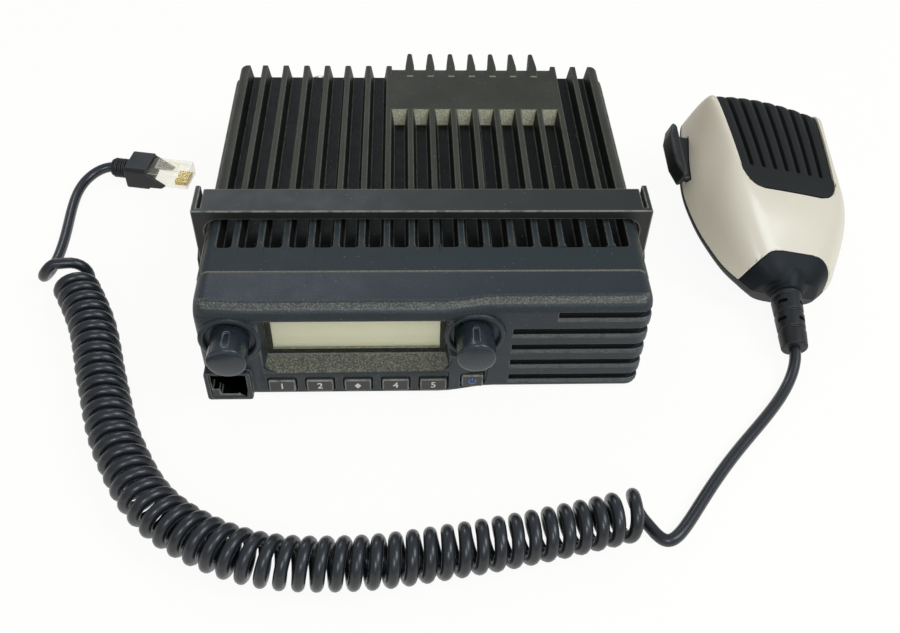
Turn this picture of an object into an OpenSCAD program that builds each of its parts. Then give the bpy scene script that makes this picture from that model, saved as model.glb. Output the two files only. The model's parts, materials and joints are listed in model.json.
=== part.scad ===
// Mobile two-way radio in its mounting bracket, with a hand microphone on a curly cord beside it.
// Millimetres. The origin lies on the table, under the bottom cover and on the radio's middle line.
// +X is to the right of someone who faces the front panel, the panel looks to -Y, and +Z is up.

/* [Chassis] */
// Width of the die-cast chassis
chassis_w = 157; // [156:0.5:166]
// Length of the chassis, from the front panel to the rear wall
chassis_l = 130.5; // [126:0.5:150]
// Height of the fin tops above the table
radio_h = 45; // [44:0.5:50]
// Thickness of the chassis walls
chassis_wall = 3; // [2.5:0.1:3.5]
// Thickness of the deck below the fin valleys
deck_t = 3; // [2.5:0.1:4]
// Radius of the outer fins' shoulders
shoulder_r = 3.5; // [2:0.1:4]

/* [Fins] */
// Number of fins between the two edge fins
fin_count = 16; // [12:1:18]
// Height of the fins
fin_h = 6; // [4:0.1:7]
// Width of a fin at its top
fin_top_w = 2.3; // [1.8:0.1:2.8]
// Width of a fin at its root
fin_root_w = 4.4; // [3.2:0.1:5]
// Width of the heavy fin at each side
edge_fin_w = 4.5; // [3.8:0.1:5]
// Plain deck between the front panel and the valleys
front_deck = 12.5; // [10:0.5:16]
// Corner radius of a valley's front end
valley_r = 1.4; // [0.8:0.1:1.8]
// Length of the flat plate at the rear
plate_l = 33; // [28:0.5:40]
// Slope of the wall between a valley and the plate
plate_slope = 3; // [1:0.1:5]
// Bevel along the plate's rear edge
plate_bevel = 8; // [5:0.5:10]
// Drop of the plate's rear edge
plate_drop = 2.2; // [1:0.1:4]
// How far the rear fins stand out from the rear wall
rear_fin_out = 10; // [6:0.5:14]
// Thickness of a rear fin at the wall
rear_fin_t = 3.8; // [3:0.1:4.2]
// Thickness of a rear fin at its tip
rear_fin_tip = 2.1; // [1.4:0.1:2.6]
// Height of the rear fins' lower ends
rear_fin_z = 7; // [4:0.5:14]

/* [Bottom cover] */
// Thickness of the sheet
cover_t = 1.2; // [0.8:0.1:1.6]
// How far the cover's sides end below the fin tops
cover_drop = 4; // [3.5:0.5:9]
// Radius of the sides' upper rear corners
cover_r = 8; // [4:0.5:12]

/* [Front panel] */
// How far the panel stands out from the chassis at each side
panel_over = 1; // [0.5:0.1:1.5]
// Depth of the panel at its middle
panel_d = 18.5; // [17.5:0.1:20]
// How far the left end lies behind the middle
left_drop = 1; // [0:0.1:1.5]
// How far the loudspeaker end lies behind the middle
right_drop = 2.5; // [1:0.1:3]
// Thickness of the panel's wall
panel_wall = 2.2; // [1.8:0.1:2.6]
// Height of the panel's underside above the table
panel_z = 0.6; // [0.4:0.1:1.5]
// Radius of the upper front edge
panel_top_r = 5; // [3:0.1:5.5]
// Radius of the lower front edge
panel_low_r = 2; // [1:0.1:2.5]
// Radius of the upright edges at both ends
panel_side_r = 5; // [3:0.1:6]

/* [Display] */
// Width of the window
lens_w = 63; // [58:0.5:66]
// Height of the window
lens_h = 18; // [15:0.5:19]
// Middle of the window, from the panel's left end
lens_in = 55.2; // [54.5:0.1:56.5]
// Height of the window's middle
lens_z = 28.6; // [27.5:0.1:29.5]
// How deep the window lies behind the panel's front
lens_deep = 3; // [2:0.1:3.4]
// Thickness of the window
lens_t = 1.4; // [1:0.1:2]
// Dark border at the display's sides
lcd_side = 2; // [1:0.1:3]
// Dark border above and below the display
lcd_edge = 1.25; // [1:0.05:2]
// Height of the sloped ledge below the window
ledge_h = 6.5; // [4:0.1:7]

/* [Knobs] */
// Height of both knobs' axes
knob_z = 29.5; // [28:0.1:31]
// Volume knob, from the panel's left end
volume_in = 12; // [11:0.1:12.3]
// Channel knob, from the panel's left end
channel_in = 96.8; // [96.3:0.1:97.5]
// Radius of a knob
knob_r = 6.8; // [6:0.1:7.4]
// Length of a knob
knob_l = 11.6; // [9:0.1:14]
// Radius of the shaft
shaft_r = 3; // [2:0.1:3.4]
// Radius of the round dish behind a knob
dish_r = 10.6; // [9:0.1:11]
// Depth of the dish
dish_d = 1.4; // [0.8:0.1:1.6]

/* [Keys] */
// Distance from key to key
key_pitch = 13.65; // [12.5:0.05:13.8]
// Width of a function key
key_w = 10; // [8:0.1:10.5]
// Width of the power key
power_w = 8.3; // [7:0.1:9]
// Height of the keys
key_h = 6.5; // [5:0.1:6.8]
// Height of the keys' middle
key_z = 6.3; // [6:0.1:6.6]
// First key's middle, from the panel's left end
key_in = 27.9; // [27:0.1:28.5]
// How far a key stands out
key_out = 1; // [0.9:0.1:1.6]
// Travel of a key
key_travel = 0.7; // [0.4:0.05:0.8]
// Gap around a key
key_gap = 0.3; // [0.2:0.05:0.4]

/* [Microphone socket] */
// Middle of the socket, from the panel's left end
jack_in = 9; // [8.6:0.1:9.4]
// Height of the socket's middle
jack_z = 7.4; // [7.2:0.1:7.8]
// Width of the surround
jack_block_w = 16.4; // [15.6:0.1:17]
// Height of the surround
jack_block_h = 14.4; // [14:0.1:14.6]
// How far the surround stands out from the panel
jack_out = 2; // [1:0.1:3]
// Width of the socket
jack_w = 13; // [12.6:0.1:13.6]
// Height of the socket
jack_h = 12.4; // [11.8:0.1:12.8]
// Depth of the hollow for the plug
jack_hollow = 12.5; // [11:0.1:13]

/* [Loudspeaker] */
// Number of grille slots
slot_count = 5; // [2:1:5]
// Distance from slot to slot
slot_pitch = 8.1; // [7.6:0.05:8.3]
// Height of a slot
slot_h = 4.2; // [3:0.1:5]
// Height of the uppermost slot's middle
slot_top = 38; // [37:0.1:38.5]
// Length of the short uppermost slot
slot_short = 33.5; // [24:0.5:44]
// Length of the other slots
slot_long = 48.8; // [44:0.1:48.8]
// Radius of the loudspeaker
speaker_r = 19.3; // [16:0.1:19.5]
// Middle of the loudspeaker, from the panel's right end
speaker_in = 26.5; // [25:0.5:28.5]
// Depth of the loudspeaker
speaker_d = 12; // [10:0.1:12.5]

/* [Bracket] */
// Thickness of the bracket's sheet
bracket_t = 2; // [1.6:0.1:2.4]
// Gap between the cover's sides and the bracket's arms
bracket_gap = 2.3; // [1.5:0.1:6]
// Gap between the fin tops and the crossbar
bracket_clear = 2; // [1.5:0.1:8]
// Depth of the top strip, with the web
strip_d = 13; // [10:0.5:14]
// Height of the web below the strip's upper face
web_h = 4; // [3:0.1:4]
// Front face of the web, in front of the origin
bracket_front = 31.5; // [28:0.5:34]
// Width of an arm
arm_d = 15; // [13:0.5:18]
// Height of the tilting axis
tilt_z = 22; // [20:0.5:24]
// Radius of the arm's round lower end
arm_end_r = 7.5; // [7:0.1:8.5]
// Radius of the bolts
bolt_r = 2.5; // [2:0.1:3]
// Running clearance of the bolts in the arms
bolt_gap = 0.06; // [0.02:0.01:0.1]
// Radius of the spacing washers
washer_r = 5; // [4:0.1:5.2]

/* [Microphone] */
// Place of the microphone, to the right
mic_x = 141.2; // [138:0.1:150]
// Place of the microphone, along Y
mic_y = 13.6; // [5:0.1:20]
// Turn of the microphone on the table
mic_yaw = 1.25; // [-4:0.25:6]
// Tilt of the microphone, with its top end up
mic_pitch = 11.4; // [10:0.1:13]
// Roll of the microphone, with its right side down
mic_roll = 15.5; // [14:0.1:17]
// Thickness from the back to the grille
mic_t = 28; // [26:0.5:32]
// Height of the joint between the two shells
mic_joint = 6; // [5:0.1:7]
// Greatest half width, at the joint
mic_half_w = 36.4; // [35:0.1:38]
// Half width of the front face at its top end
mic_face_w = 27.2; // [26.5:0.1:28]
// From the grille's lower rib end to the top end of the shell
mic_up = 39.5; // [39:0.5:42]
// From the grille's lower rib end to the cord end of the shell
mic_down = 46; // [45:0.5:48]
// Half width of the grille at its top
grille_top_w = 25; // [23:0.1:25.2]
// Half width of the grille at the lower rib ends
grille_low_w = 20.4; // [18:0.1:20.8]
// Plain lip below the ribs
grille_lip = 10.5; // [9:0.5:11]
// Number of ribs
rib_count = 8; // [6:1:10]
// Depth of the gaps between ribs
rib_d = 1.6; // [0.8:0.1:2]
// Length of the push-to-talk paddle
ptt_l = 30; // [28:0.5:32]
// Travel of the push-to-talk paddle
ptt_travel = 1.5; // [0.8:0.1:2]
// Length of the hanger stud
stud_l = 9.6; // [7:0.1:10]
// Length of the strain relief
relief_l = 28.5; // [22:0.5:30]
// Sideways bend of the strain relief
relief_turn = 6; // [0:0.5:8]

/* [Cord] */
// Diameter of the cord
cord_d = 4.3; // [3.8:0.1:4.4]
// Outer diameter of the curls
curl_d = 17.3; // [15:0.1:17.6]
// Number of curls
curl_count = 50.5; // [40.5:1:50.5]
// Extra opening of the first and last curl
curl_open = 4; // [2:0.1:6]

/* [Plug] */
// Width of the modular plug
plug_w = 11.7; // [11:0.1:12]
// Length of the modular plug
plug_l = 21.5; // [20:0.1:23]
// Height of the plug's body
plug_h = 6.6; // [6:0.1:7]
// Number of contacts
contact_count = 8; // [6:2:8]
// Length of the boot's block
boot_l = 10; // [8:0.5:12]
// Width of the boot's block
boot_w = 14.4; // [14:0.1:16]
// Height of the boot's block
boot_h = 10.6; // [9.6:0.1:12]
// Length of the boot's collar
collar_l = 8; // [6:0.5:10]

/* [Hidden] */
$fn = 48;

// A hair that lets a cut run past the face it opens
eps = 0.5;
// Gap between a piece and the pocket that holds it
fit = 0.05;
front_y = -56.5;
rear_y = front_y + chassis_l;
deck_z = radio_h - fin_h;
ceiling_z = deck_z - deck_t;
inner_x = chassis_w / 2 - chassis_wall;
cover_x = chassis_w / 2 + cover_t;
cover_h = radio_h - cover_drop;

// Fins: the valleys take away what lies between them
fin_draft = (fin_root_w - fin_top_w) / 2;
fin_pitch = (chassis_w - 4) / (fin_count + 1);
outer_fin_x = (fin_count - 1) / 2 * fin_pitch;
edge_x = chassis_w / 2 - edge_fin_w;
valley_y = front_y + front_deck;
plate_y = rear_y - plate_l;
plate_first = round(0.44 * fin_count);
plate_last = fin_count - 1;
rear_fin_count = plate_last - plate_first - 1;
function fin_x(i) = (i - (fin_count + 1) / 2) * fin_pitch;

// Screws and posts
screw_r = 1.5;
screw_head_r = 2.6;
screw_head_t = 1.8;
post_r = 3.6;
cover_post_inset = 4;
cover_post_r = 4.6;
cover_posts = [for (x = [-1, 1], y = [front_y + chassis_wall + cover_post_inset,
    rear_y - chassis_wall - cover_post_inset]) [x * (inner_x - cover_post_inset), y]];
cover_screw_l = 10;
board_t = 1.6;
board_z = 10;
board_x = inner_x - 9.5;
board_front = front_y + 12.5;
board_rear = rear_y - 14;
board_posts = [for (x = [-1, 1], y = [board_front + 6, (board_front + board_rear) / 2, board_rear - 6])
    [x * (board_x - 6), y]];
board_screw_l = 8;

// Rear sockets
socket_z = 23;
socket_r = 7.9;
socket_out = 14;
socket_flange = 25.4;
socket_gap = 0.5;
socket_body_r = 5.6;
insulator_r = 5;
contact_r = 1.9;
gland_z = 16;
gland_r = 4.6;
gland_lip = 1.6;
ear_z = 16;
ear_r = 3.6;
ear_lip = 1.2;
post_gap = 0.3;
free_x = inner_x - cover_post_inset - cover_post_r;
gland_x = free_x - gland_r - gland_lip;
ear_x = -free_x + ear_r + post_gap;
socket_x = ear_x + ear_r + ear_lip + socket_gap + socket_flange / 2;

// Front panel
panel_w = chassis_w + 2 * panel_over;
panel_left = -panel_w / 2;
panel_top = radio_h - 0.2;
volume_x = panel_left + volume_in;
channel_x = panel_left + channel_in;
jack_x = panel_left + jack_in;
panel_front = front_y - panel_d;
left_turn = panel_left + 19.5;
left_bend = 18;
right_turn = channel_x - 12.3;
right_bend = 20;
flat_x = panel_w / 2 - panel_side_r;
right_y = panel_front + right_drop;
function smooth(t) = let (u = min(1, max(0, t))) u * u * (3 - 2 * u);
function panel_y(x) = panel_front + left_drop * smooth((left_turn - x) / left_bend)
    + right_drop * smooth((x - right_turn) / right_bend);
panel_xs = concat([for (k = [0 : 5]) -flat_x - panel_side_r * cos(18 * k)],
    [for (k = [1 : 3]) left_turn + (left_turn + flat_x) * (k / 3 - 1)],
    [for (k = [0 : 6]) right_turn + right_bend * k / 6],
    [for (k = [0 : 5]) flat_x + panel_side_r * sin(18 * k)]);

// Stack behind the panel's front
front_board_t = 1.6;
front_board_y = front_y - 6;
front_board_x = [panel_left + 8, channel_x + 7.2];
front_board_z = [3, 38.6];
lens_x = panel_left + lens_in;
lcd_w = lens_w - 2 * lcd_side;
lcd_h = lens_h - 2 * lcd_edge;
lens_y = panel_front + lens_deep;
frame_t = 1;
lcd_t = 3.6;
surround_edge = 3;
panel_boss_r = 2.4;
right_boss_x = channel_x + 10.3;
left_boss_x = volume_x + 4.2;
board_boss_r = 2.2;
pot_size = 9.6;
pot_l = 7.6;
knob_gap = 0.5;
key_flange = 0.8;
flange_t = 1;
plunger_gap = key_travel + 0.1;
stem_l = 0.7;
stem_r = 1.4;
switch_size = 6;
power_x = channel_x;
key_xs = [for (i = [0 : 4]) panel_left + key_in + i * key_pitch];
board_bosses = [for (i = [0, 3]) [key_xs[i] + key_pitch / 2, 13.8]];
low_boss_x = (jack_x + jack_block_w / 2 + key_xs[0] - key_w / 2 - key_flange) / 2;
left_boss_z = (jack_z + jack_block_h / 2 + knob_z - pot_size / 2) / 2;
panel_bosses = [[low_boss_x, key_z], [left_boss_x, left_boss_z],
    [right_boss_x, ceiling_z - screw_head_r - fit], [right_boss_x, 5]];
cloth_t = 0.5;
cloth_l = 49.2;
cloth_x = panel_w / 2 - cloth_l;
cloth_z = [3, panel_top - panel_wall - 0.2];
speaker_x = panel_w / 2 - speaker_in;
speaker_z = 22.5;
speaker_y = right_y + panel_wall + cloth_t;

// Bracket
bracket_in = cover_x + bracket_gap;
bracket_out = bracket_in + bracket_t;
bracket_top = radio_h + bracket_clear + web_h;
web_y = -bracket_front;
tilt_y = web_y + arm_d / 2;
web_in = 3.8;
bracket_corner_r = 6;
slit_w = 1.2;
bolt_head_r = 7;
bolt_head_t = 1.2;
hex_r = 5;
hex_t = 0.6;
bolt_l = 9;
boss_r = 6;
washer_gap = 0.05;

// Microphone: sections along its length, from the cord end to the top end.
// Each row is [place, half width at the joint, half width of the face, height of the face].
mic_rows = [
    [-mic_down, mic_half_w - 21.9, 9.5, mic_t - 12],
    [-42, mic_half_w - 17, 12, mic_t - 10],
    [-35, mic_half_w - 10.4, 15.5, mic_t - 7.6],
    [-22, mic_half_w - 4, 20.6, mic_t - 3],
    [-10, mic_half_w - 0.9, 23.4, mic_t - 0.4],
    [0, mic_half_w, mic_face_w - 2.6, mic_t + 0.2],
    [12, mic_half_w - 1.2, mic_face_w - 1.6, mic_t + 0.4],
    [25, mic_half_w - 4.6, mic_face_w - 0.6, mic_t + 0.2],
    [34, mic_half_w - 6.9, mic_face_w, mic_t - 0.4],
    [mic_up - 2, mic_half_w - 8.2, mic_face_w - 0.2, mic_t - 1.6],
    [mic_up, mic_half_w - 9.2, mic_face_w - 1, mic_t - 4]
];
row_steps = 2;
section_steps = 20;
flank_steps = 6;
rim_steps = 4;
rim_r = 2.6;
back_boxy = 2.8;
relief_x = -1.5;
relief_z = 9.3;
relief_y = -mic_down + 1;
relief_room_r = 8.4;
relief_room_l = 9;
cover_edge = [11.3, -34.8];
cover_corner = [23, -43.5];
grille_t = 2.4;
grille_depth = 0.6;
grille_l = mic_up + 1.5;
rib_foot = 0.7;
mic_hollow = [[-20, 30], [20, 30], [20, -6], [12.5, -28], [-12.5, -28], [-20, -6]];
mic_roof = 9;
mic_hollow_top = mic_t - mic_roof;
mic_floor = 2.6;
mic_board_z = 10;
mic_board = [32, 42, 1.6];
mic_board_y = -14;
ptt_switch_size = [6, 8, 5];
mic_posts = [[-12, 26], [12, 26], [0, -10]];
mic_post_r = 2.6;
mic_screw_spots = [[-16, 34.7], [16, 34.7], [0, -33]];
mic_screw_l = 11;
capsule_y = 17;
capsule_r = 5;
capsule_t = 6;
ptt_y = 15.5;
ptt_z = [7, 15];
ptt_neck_l = 24;
ptt_neck_z = [7.6, 10.4];
ptt_gap = 0.3;
ptt_face_x = -42.5;
ptt_base_x = -37.8;
ptt_inner_x = -19.2;
stud_base_r = 7;
stud_neck_r = 4;
stud_head_r = 6.4;
stud_base_t = 2;
stud_head_t = 2.6;

// Turn and lift of the microphone: its lowest point lies on the table
function turn_z(a) = [[cos(a), -sin(a), 0], [sin(a), cos(a), 0], [0, 0, 1]];
function turn_x(a) = [[1, 0, 0], [0, cos(a), -sin(a)], [0, sin(a), cos(a)]];
function turn_y(a) = [[cos(a), 0, sin(a)], [0, 1, 0], [-sin(a), 0, cos(a)]];
mic_turn = turn_z(mic_yaw) * turn_x(mic_pitch) * turn_y(mic_roll);
function signed_power(x, n) = (x < 0 ? -1 : 1) * pow(abs(x), n);
function eased(u) = u * u * (3 - 2 * u);
function mic_half(row) =
    let (r = min(rim_r, (row[3] - mic_joint) / 2), top = row[3] - r)
    concat([for (k = [0 : flank_steps - 1])
        let (u = k / flank_steps)
        [row[2] + (row[1] - row[2]) * (1 - eased(u)), row[0], mic_joint + (top - mic_joint) * u]],
        [for (k = [0 : rim_steps])
            let (a = 90 * k / rim_steps)
            [row[2] - r + r * cos(a), row[0], top + r * sin(a)]]);
function mic_front_section(row) =
    let (half = mic_half(row))
    concat(half, [for (k = [len(half) - 1 : -1 : 0]) [-half[k][0], half[k][1], half[k][2]]]);
function mic_back_section(row) = [
    for (k = [0 : section_steps])
        let (a = 180 * k / section_steps, n = 2 / back_boxy)
        [-signed_power(cos(a), n) * row[1], row[0], mic_joint * (1 - pow(abs(sin(a)), n))]
];
mic_stations = curve_points(mic_rows, row_steps);
mic_back = [for (row = mic_stations) mic_back_section(row)];
stud_rim = [for (k = [0 : 23]) [stud_head_r * cos(15 * k), stud_head_r * sin(15 * k), -stud_l]];
mic_lift = -min([for (s = concat(mic_back, [stud_rim]), p = s) (mic_turn * p)[2]]);
mic_place = [mic_x, mic_y, mic_lift];

// Smooth curve through a list of points
function knot(p, i) = i < 0 ? 2 * p[0] - p[1]
    : i > len(p) - 1 ? 2 * p[len(p) - 1] - p[len(p) - 2] : p[i];
function curve(p, i, u) =
    let (a = knot(p, i - 1), b = knot(p, i), c = knot(p, i + 1), d = knot(p, i + 2))
    b + 0.5 * u * ((c - a) + u * ((2 * a - 5 * b + 4 * c - d) + u * (3 * (b - c) + d - a)));
function curve_points(p, steps) = concat(
    [for (i = [0 : len(p) - 2], k = [0 : steps - 1]) curve(p, i, k / steps)], [p[len(p) - 1]]);
function unit(v) = v / norm(v);
function tangents(p, first, last) = concat([first],
    [for (i = [1 : len(p) - 2]) unit(p[i + 1] - p[i - 1])], [last]);
function carried(t, n) = [for (i = 0, m = n; i < len(t); i = i + 1,
    m = i < len(t) ? unit(m - (m * t[i]) * t[i]) : m) m];

// Curly cord: the axis of the curls lies on the table in a bend chosen from the real cord's lie
cord_r = cord_d / 2;
curl_r = curl_d / 2 - cord_r;
axis_z = curl_d / 2;
curl_axis = [[-139, -20], [-125, -47], [-115, -76], [-104, -104], [-86, -130], [-57, -146],
    [-24, -149], [10, -145], [42, -139], [72, -132]];
axis_fine = curve_points(curl_axis, 16);
axis_runs = [for (i = 0, s = 0; i < len(axis_fine); i = i + 1,
    s = i < len(axis_fine) ? s + norm(axis_fine[i] - axis_fine[i - 1]) : s) s];
axis_l = axis_runs[len(axis_runs) - 1];
axis_xs = [for (i = [0 : len(axis_fine) - 1]) [axis_runs[i], axis_fine[i][0]]];
axis_ys = [for (i = [0 : len(axis_fine) - 1]) [axis_runs[i], axis_fine[i][1]]];
function axis_at(s) = [lookup(s, axis_xs), lookup(s, axis_ys)];
curl_pitch = (axis_l - 2 * curl_open) / curl_count;
function squared(x) = x * x;
function curl_s(k) = curl_pitch * k
    + curl_open * (squared(max(0, k - curl_count + 1)) + 1 - squared(max(0, 1 - k)));
function curl_point(k) =
    let (s = curl_s(k), c = axis_at(s), d = unit(axis_at(min(axis_l, s + 1)) - axis_at(max(0, s - 1))))
    [c[0] - d[1] * curl_r * sin(360 * k), c[1] + d[0] * curl_r * sin(360 * k),
        axis_z + curl_r * cos(360 * k)];
curl_steps = 8;
cord_sides = 6;
curl_turns = [for (i = [0 : curl_count * curl_steps]) curl_point(i / curl_steps)];
last_turn = len(curl_turns) - 1;
nudge = 0.01;
curl_start_dir = unit(curl_point(nudge) - curl_point(0));
curl_end_dir = unit(curl_point(curl_count) - curl_point(curl_count - nudge));
curl_start = curl_turns[0] - cord_d * curl_start_dir;
curl_end = curl_turns[last_turn] + cord_d * curl_end_dir;
curl_line = concat([curl_start], curl_turns, [curl_end]);
curl_dirs = concat([curl_start_dir, curl_start_dir],
    [for (i = [1 : last_turn - 1]) unit(curl_turns[i + 1] - curl_turns[i - 1])],
    [curl_end_dir, curl_end_dir]);
near_turns = [for (i = [0 : last_turn - 5], j = [i + 5 : min(last_turn, i + 11)])
    norm(curl_turns[i] - curl_turns[j])];
echo(least_gap_between_curls = min(near_turns) - cord_d);

// Plug on the table, its nose pointing to the radio
plug_nose = [-102.5, 47];
plug_yaw = -10;
plug_z = 2;
plug_held = 4;
latch_w = 6;
collar_r = 4.3;
wing_l = 8;
wing_t = 1.3;
boot_back = -plug_l + plug_held - boot_l;
collar_end = [boot_back - collar_l, 0, boot_h / 2];
function from_plug(p) = turn_z(plug_yaw) * p + [plug_nose[0], plug_nose[1], 0];
plug_tail_start = from_plug(collar_end);
plug_tail_dir = turn_z(plug_yaw) * [-1, 0, 0];
relief_end = mic_place + mic_turn * ([relief_x, relief_y, relief_z]
    + turn_z(-relief_turn) * [0, -relief_l, 0]);
relief_dir = mic_turn * (turn_z(-relief_turn) * [0, -1, 0]);

// The cord's free stretches, from the strain relief to the curls and from the curls to the plug
mic_tail = concat([relief_end, relief_end + cord_d * relief_dir],
    [[138, -71, 3], [132, -80, 2.5], [122, -91, 2.5], [112, -101, 2.5], [103, -111, 2.5], [95, -121, 2.5],
        [89, -129, 2.5], [84, -135.5, 2.5], [79.5, -140, 2.5]],
    [curl_end + cord_d * curl_end_dir, curl_end]);
plug_tail = concat([curl_start, curl_start - cord_d / 2 * curl_start_dir],
    [[-148.5, -24, 11.2], [-150.3, -19.5, 6.4], [-149.8, -12, 3.2], [-149, -2, 2.5], [-149.5, 12, 2.5],
        [-151, 26, 2.5], [-151.4, 38, 2.4], [-149.4, 47.5, 3.6]],
    [plug_tail_start + cord_d * plug_tail_dir, plug_tail_start]);
tail_steps = 3;
tail_sides = 8;

// Shared shapes
module rounded_rect(w, h, r) {
    square([w - 2 * r, h], center = true);
    square([w, h - 2 * r], center = true);
    for (x = [-1, 1], y = [-1, 1]) translate([x * (w / 2 - r), y * (h / 2 - r)]) circle(r);
}

// An outline in X and Z, drawn out along Y from y0 to y1
module along_y(y0, y1) {
    translate([0, y1, 0]) rotate([90, 0, 0]) linear_extrude(y1 - y0) children();
}

// An outline in Y and Z, drawn out along X from x0 to x1
module along_x(x0, x1) {
    translate([x0, 0, 0]) rotate([90, 0, 90]) linear_extrude(x1 - x0) children();
}

// A round bar along Y
module rod_y(r, y0, y1) {
    translate([0, y1, 0]) rotate([90, 0, 0]) cylinder(r = r, h = y1 - y0);
}

// Skin over a row of closed outlines that have the same number of points
module loft(sections) {
    n = len(sections[0]);
    m = len(sections);
    sides = [for (i = [0 : m - 2], k = [0 : n - 1])
        let (a = i * n + k, b = i * n + (k + 1) % n) each [[a, b, a + n], [b, b + n, a + n]]];
    first = [for (k = [1 : n - 2]) [0, k + 1, k]];
    last = [for (k = [1 : n - 2]) [(m - 1) * n, (m - 1) * n + k, (m - 1) * n + k + 1]];
    polyhedron([for (s = sections, p = s) p], concat(sides, first, last), convexity = 8);
}

// Round tube with its rings square to the line
module tube(line, dirs, normals, r, sides) {
    loft([for (i = [0 : len(line) - 1])
        let (n = unit(normals[i] - (normals[i] * dirs[i]) * dirs[i]), b = cross(n, dirs[i]))
        [for (k = [0 : sides - 1]) line[i] + r * (cos(360 * k / sides) * n + sin(360 * k / sides) * b)]]);
}

// Free stretch of cord through hand-placed points
module free_cord(points) {
    line = curve_points(points, tail_steps);
    last = len(points) - 1;
    dirs = tangents(line, unit(points[1] - points[0]), unit(points[last] - points[last - 1]));
    tube(line, dirs, carried(dirs, cross(dirs[0], [1, 2, 5])), cord_r, tail_sides);
}

module in_mic() {
    translate(mic_place) rotate([0, 0, mic_yaw]) rotate([mic_pitch, 0, 0]) rotate([0, mic_roll, 0])
        children();
}

module in_plug() {
    translate([plug_nose[0], plug_nose[1], 0]) rotate([0, 0, plug_yaw]) children();
}

// Chassis
module valley(x0, x1, y1, slope) {
    intersection() {
        along_y(valley_y - eps, y1 + eps) polygon([[x0, radio_h + eps], [x1, radio_h + eps], [x1, radio_h],
            [x1 - fin_draft, deck_z], [x0 + fin_draft, deck_z], [x0, radio_h]]);
        along_x(x0 - eps, x1 + eps) polygon([[valley_y - eps, radio_h + 2 * eps], [y1, radio_h + 2 * eps],
            [y1, radio_h], [y1 - slope, deck_z - eps], [valley_y - eps, deck_z - eps]]);
        translate([0, 0, deck_z - eps]) linear_extrude(fin_h + 3 * eps) {
            translate([x0, valley_y + valley_r]) square([x1 - x0, y1 - valley_y]);
            translate([x0 + valley_r, valley_y]) square([x1 - x0 - 2 * valley_r, valley_r + eps]);
            for (x = [x0 + valley_r, x1 - valley_r]) translate([x, valley_y + valley_r]) circle(valley_r);
        }
    }
}

module valleys() {
    for (i = [1 : fin_count - 1]) {
        over_plate = i >= plate_first && i < plate_last;
        valley(fin_x(i) + fin_top_w / 2, fin_x(i + 1) - fin_top_w / 2,
            over_plate ? plate_y : rear_y + eps, over_plate ? plate_slope : 0);
    }
    valley(outer_fin_x + fin_top_w / 2, edge_x, rear_y + eps, 0);
    valley(-edge_x, -outer_fin_x - fin_top_w / 2, rear_y + eps, 0);
}

module rear_fin(x) {
    tip_y = rear_y + rear_fin_out - rear_fin_tip / 2;
    translate([x, 0, rear_fin_z]) linear_extrude(radio_h - rear_fin_z) {
        polygon([[-rear_fin_t / 2, rear_y - plate_bevel], [rear_fin_t / 2, rear_y - plate_bevel],
            [rear_fin_t / 2, rear_y], [rear_fin_tip / 2, tip_y], [-rear_fin_tip / 2, tip_y],
            [-rear_fin_t / 2, rear_y]]);
        translate([0, tip_y]) circle(rear_fin_tip / 2);
    }
}

module chassis_outline() {
    half = chassis_w / 2;
    translate([-half, cover_t]) square([chassis_w, radio_h - cover_t - shoulder_r]);
    translate([-half + shoulder_r, cover_t]) square([chassis_w - 2 * shoulder_r, radio_h - cover_t]);
    for (x = [-1, 1]) translate([x * (half - shoulder_r), radio_h - shoulder_r]) circle(shoulder_r);
}

module chassis() {
    plate_x0 = fin_x(plate_first) + fin_top_w / 2;
    plate_x1 = fin_x(plate_last) - fin_top_w / 2;
    color("#3d3e3e") difference() {
        union() {
            difference() {
                along_y(front_y, rear_y) chassis_outline();
                translate([-inner_x, front_y + chassis_wall, 0])
                    cube([2 * inner_x, chassis_l - 2 * chassis_wall, ceiling_z]);
                along_x(plate_x0, plate_x1) polygon([[rear_y - plate_bevel, radio_h], [rear_y + eps, radio_h],
                    [rear_y + eps, radio_h - plate_drop]]);
            }
            for (i = [1 : rear_fin_count]) rear_fin(fin_x(plate_first + i));
            for (p = cover_posts) translate([p[0], p[1], cover_t])
                cylinder(r = cover_post_r, h = ceiling_z - cover_t);
            for (p = board_posts) translate([p[0], p[1], board_z + board_t])
                cylinder(r = post_r, h = ceiling_z - board_z - board_t);
            for (x = [-1, 1]) translate([x * (inner_x + chassis_wall / 2), tilt_y, tilt_z])
                rotate([0, -x * 90, 0]) cylinder(r = boss_r, h = bolt_l + chassis_wall);
        }
        valleys();
        for (p = cover_posts) translate([p[0], p[1], 0]) cylinder(r = screw_r, h = cover_screw_l + eps);
        for (p = board_posts) translate([p[0], p[1], board_z])
            cylinder(r = screw_r, h = board_screw_l + board_t + eps);
        for (p = panel_bosses) translate([p[0], 0, p[1]])
            rod_y(screw_r + fit, front_y - eps, front_y + chassis_wall + eps);
        for (x = [-1, 1]) translate([x * (chassis_w / 2 + eps), tilt_y, tilt_z])
            rotate([0, -x * 90, 0]) cylinder(r = bolt_r, h = bolt_l + eps);
        translate([socket_x, 0, socket_z])
            rod_y(socket_body_r + fit, rear_y - chassis_wall - eps, rear_y + eps);
        translate([gland_x, 0, gland_z]) rod_y(gland_r + fit, rear_y - chassis_wall - eps, rear_y + eps);
        translate([ear_x, 0, ear_z]) rod_y(ear_r + fit, rear_y - chassis_wall - eps, rear_y + eps);
    }
}

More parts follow.
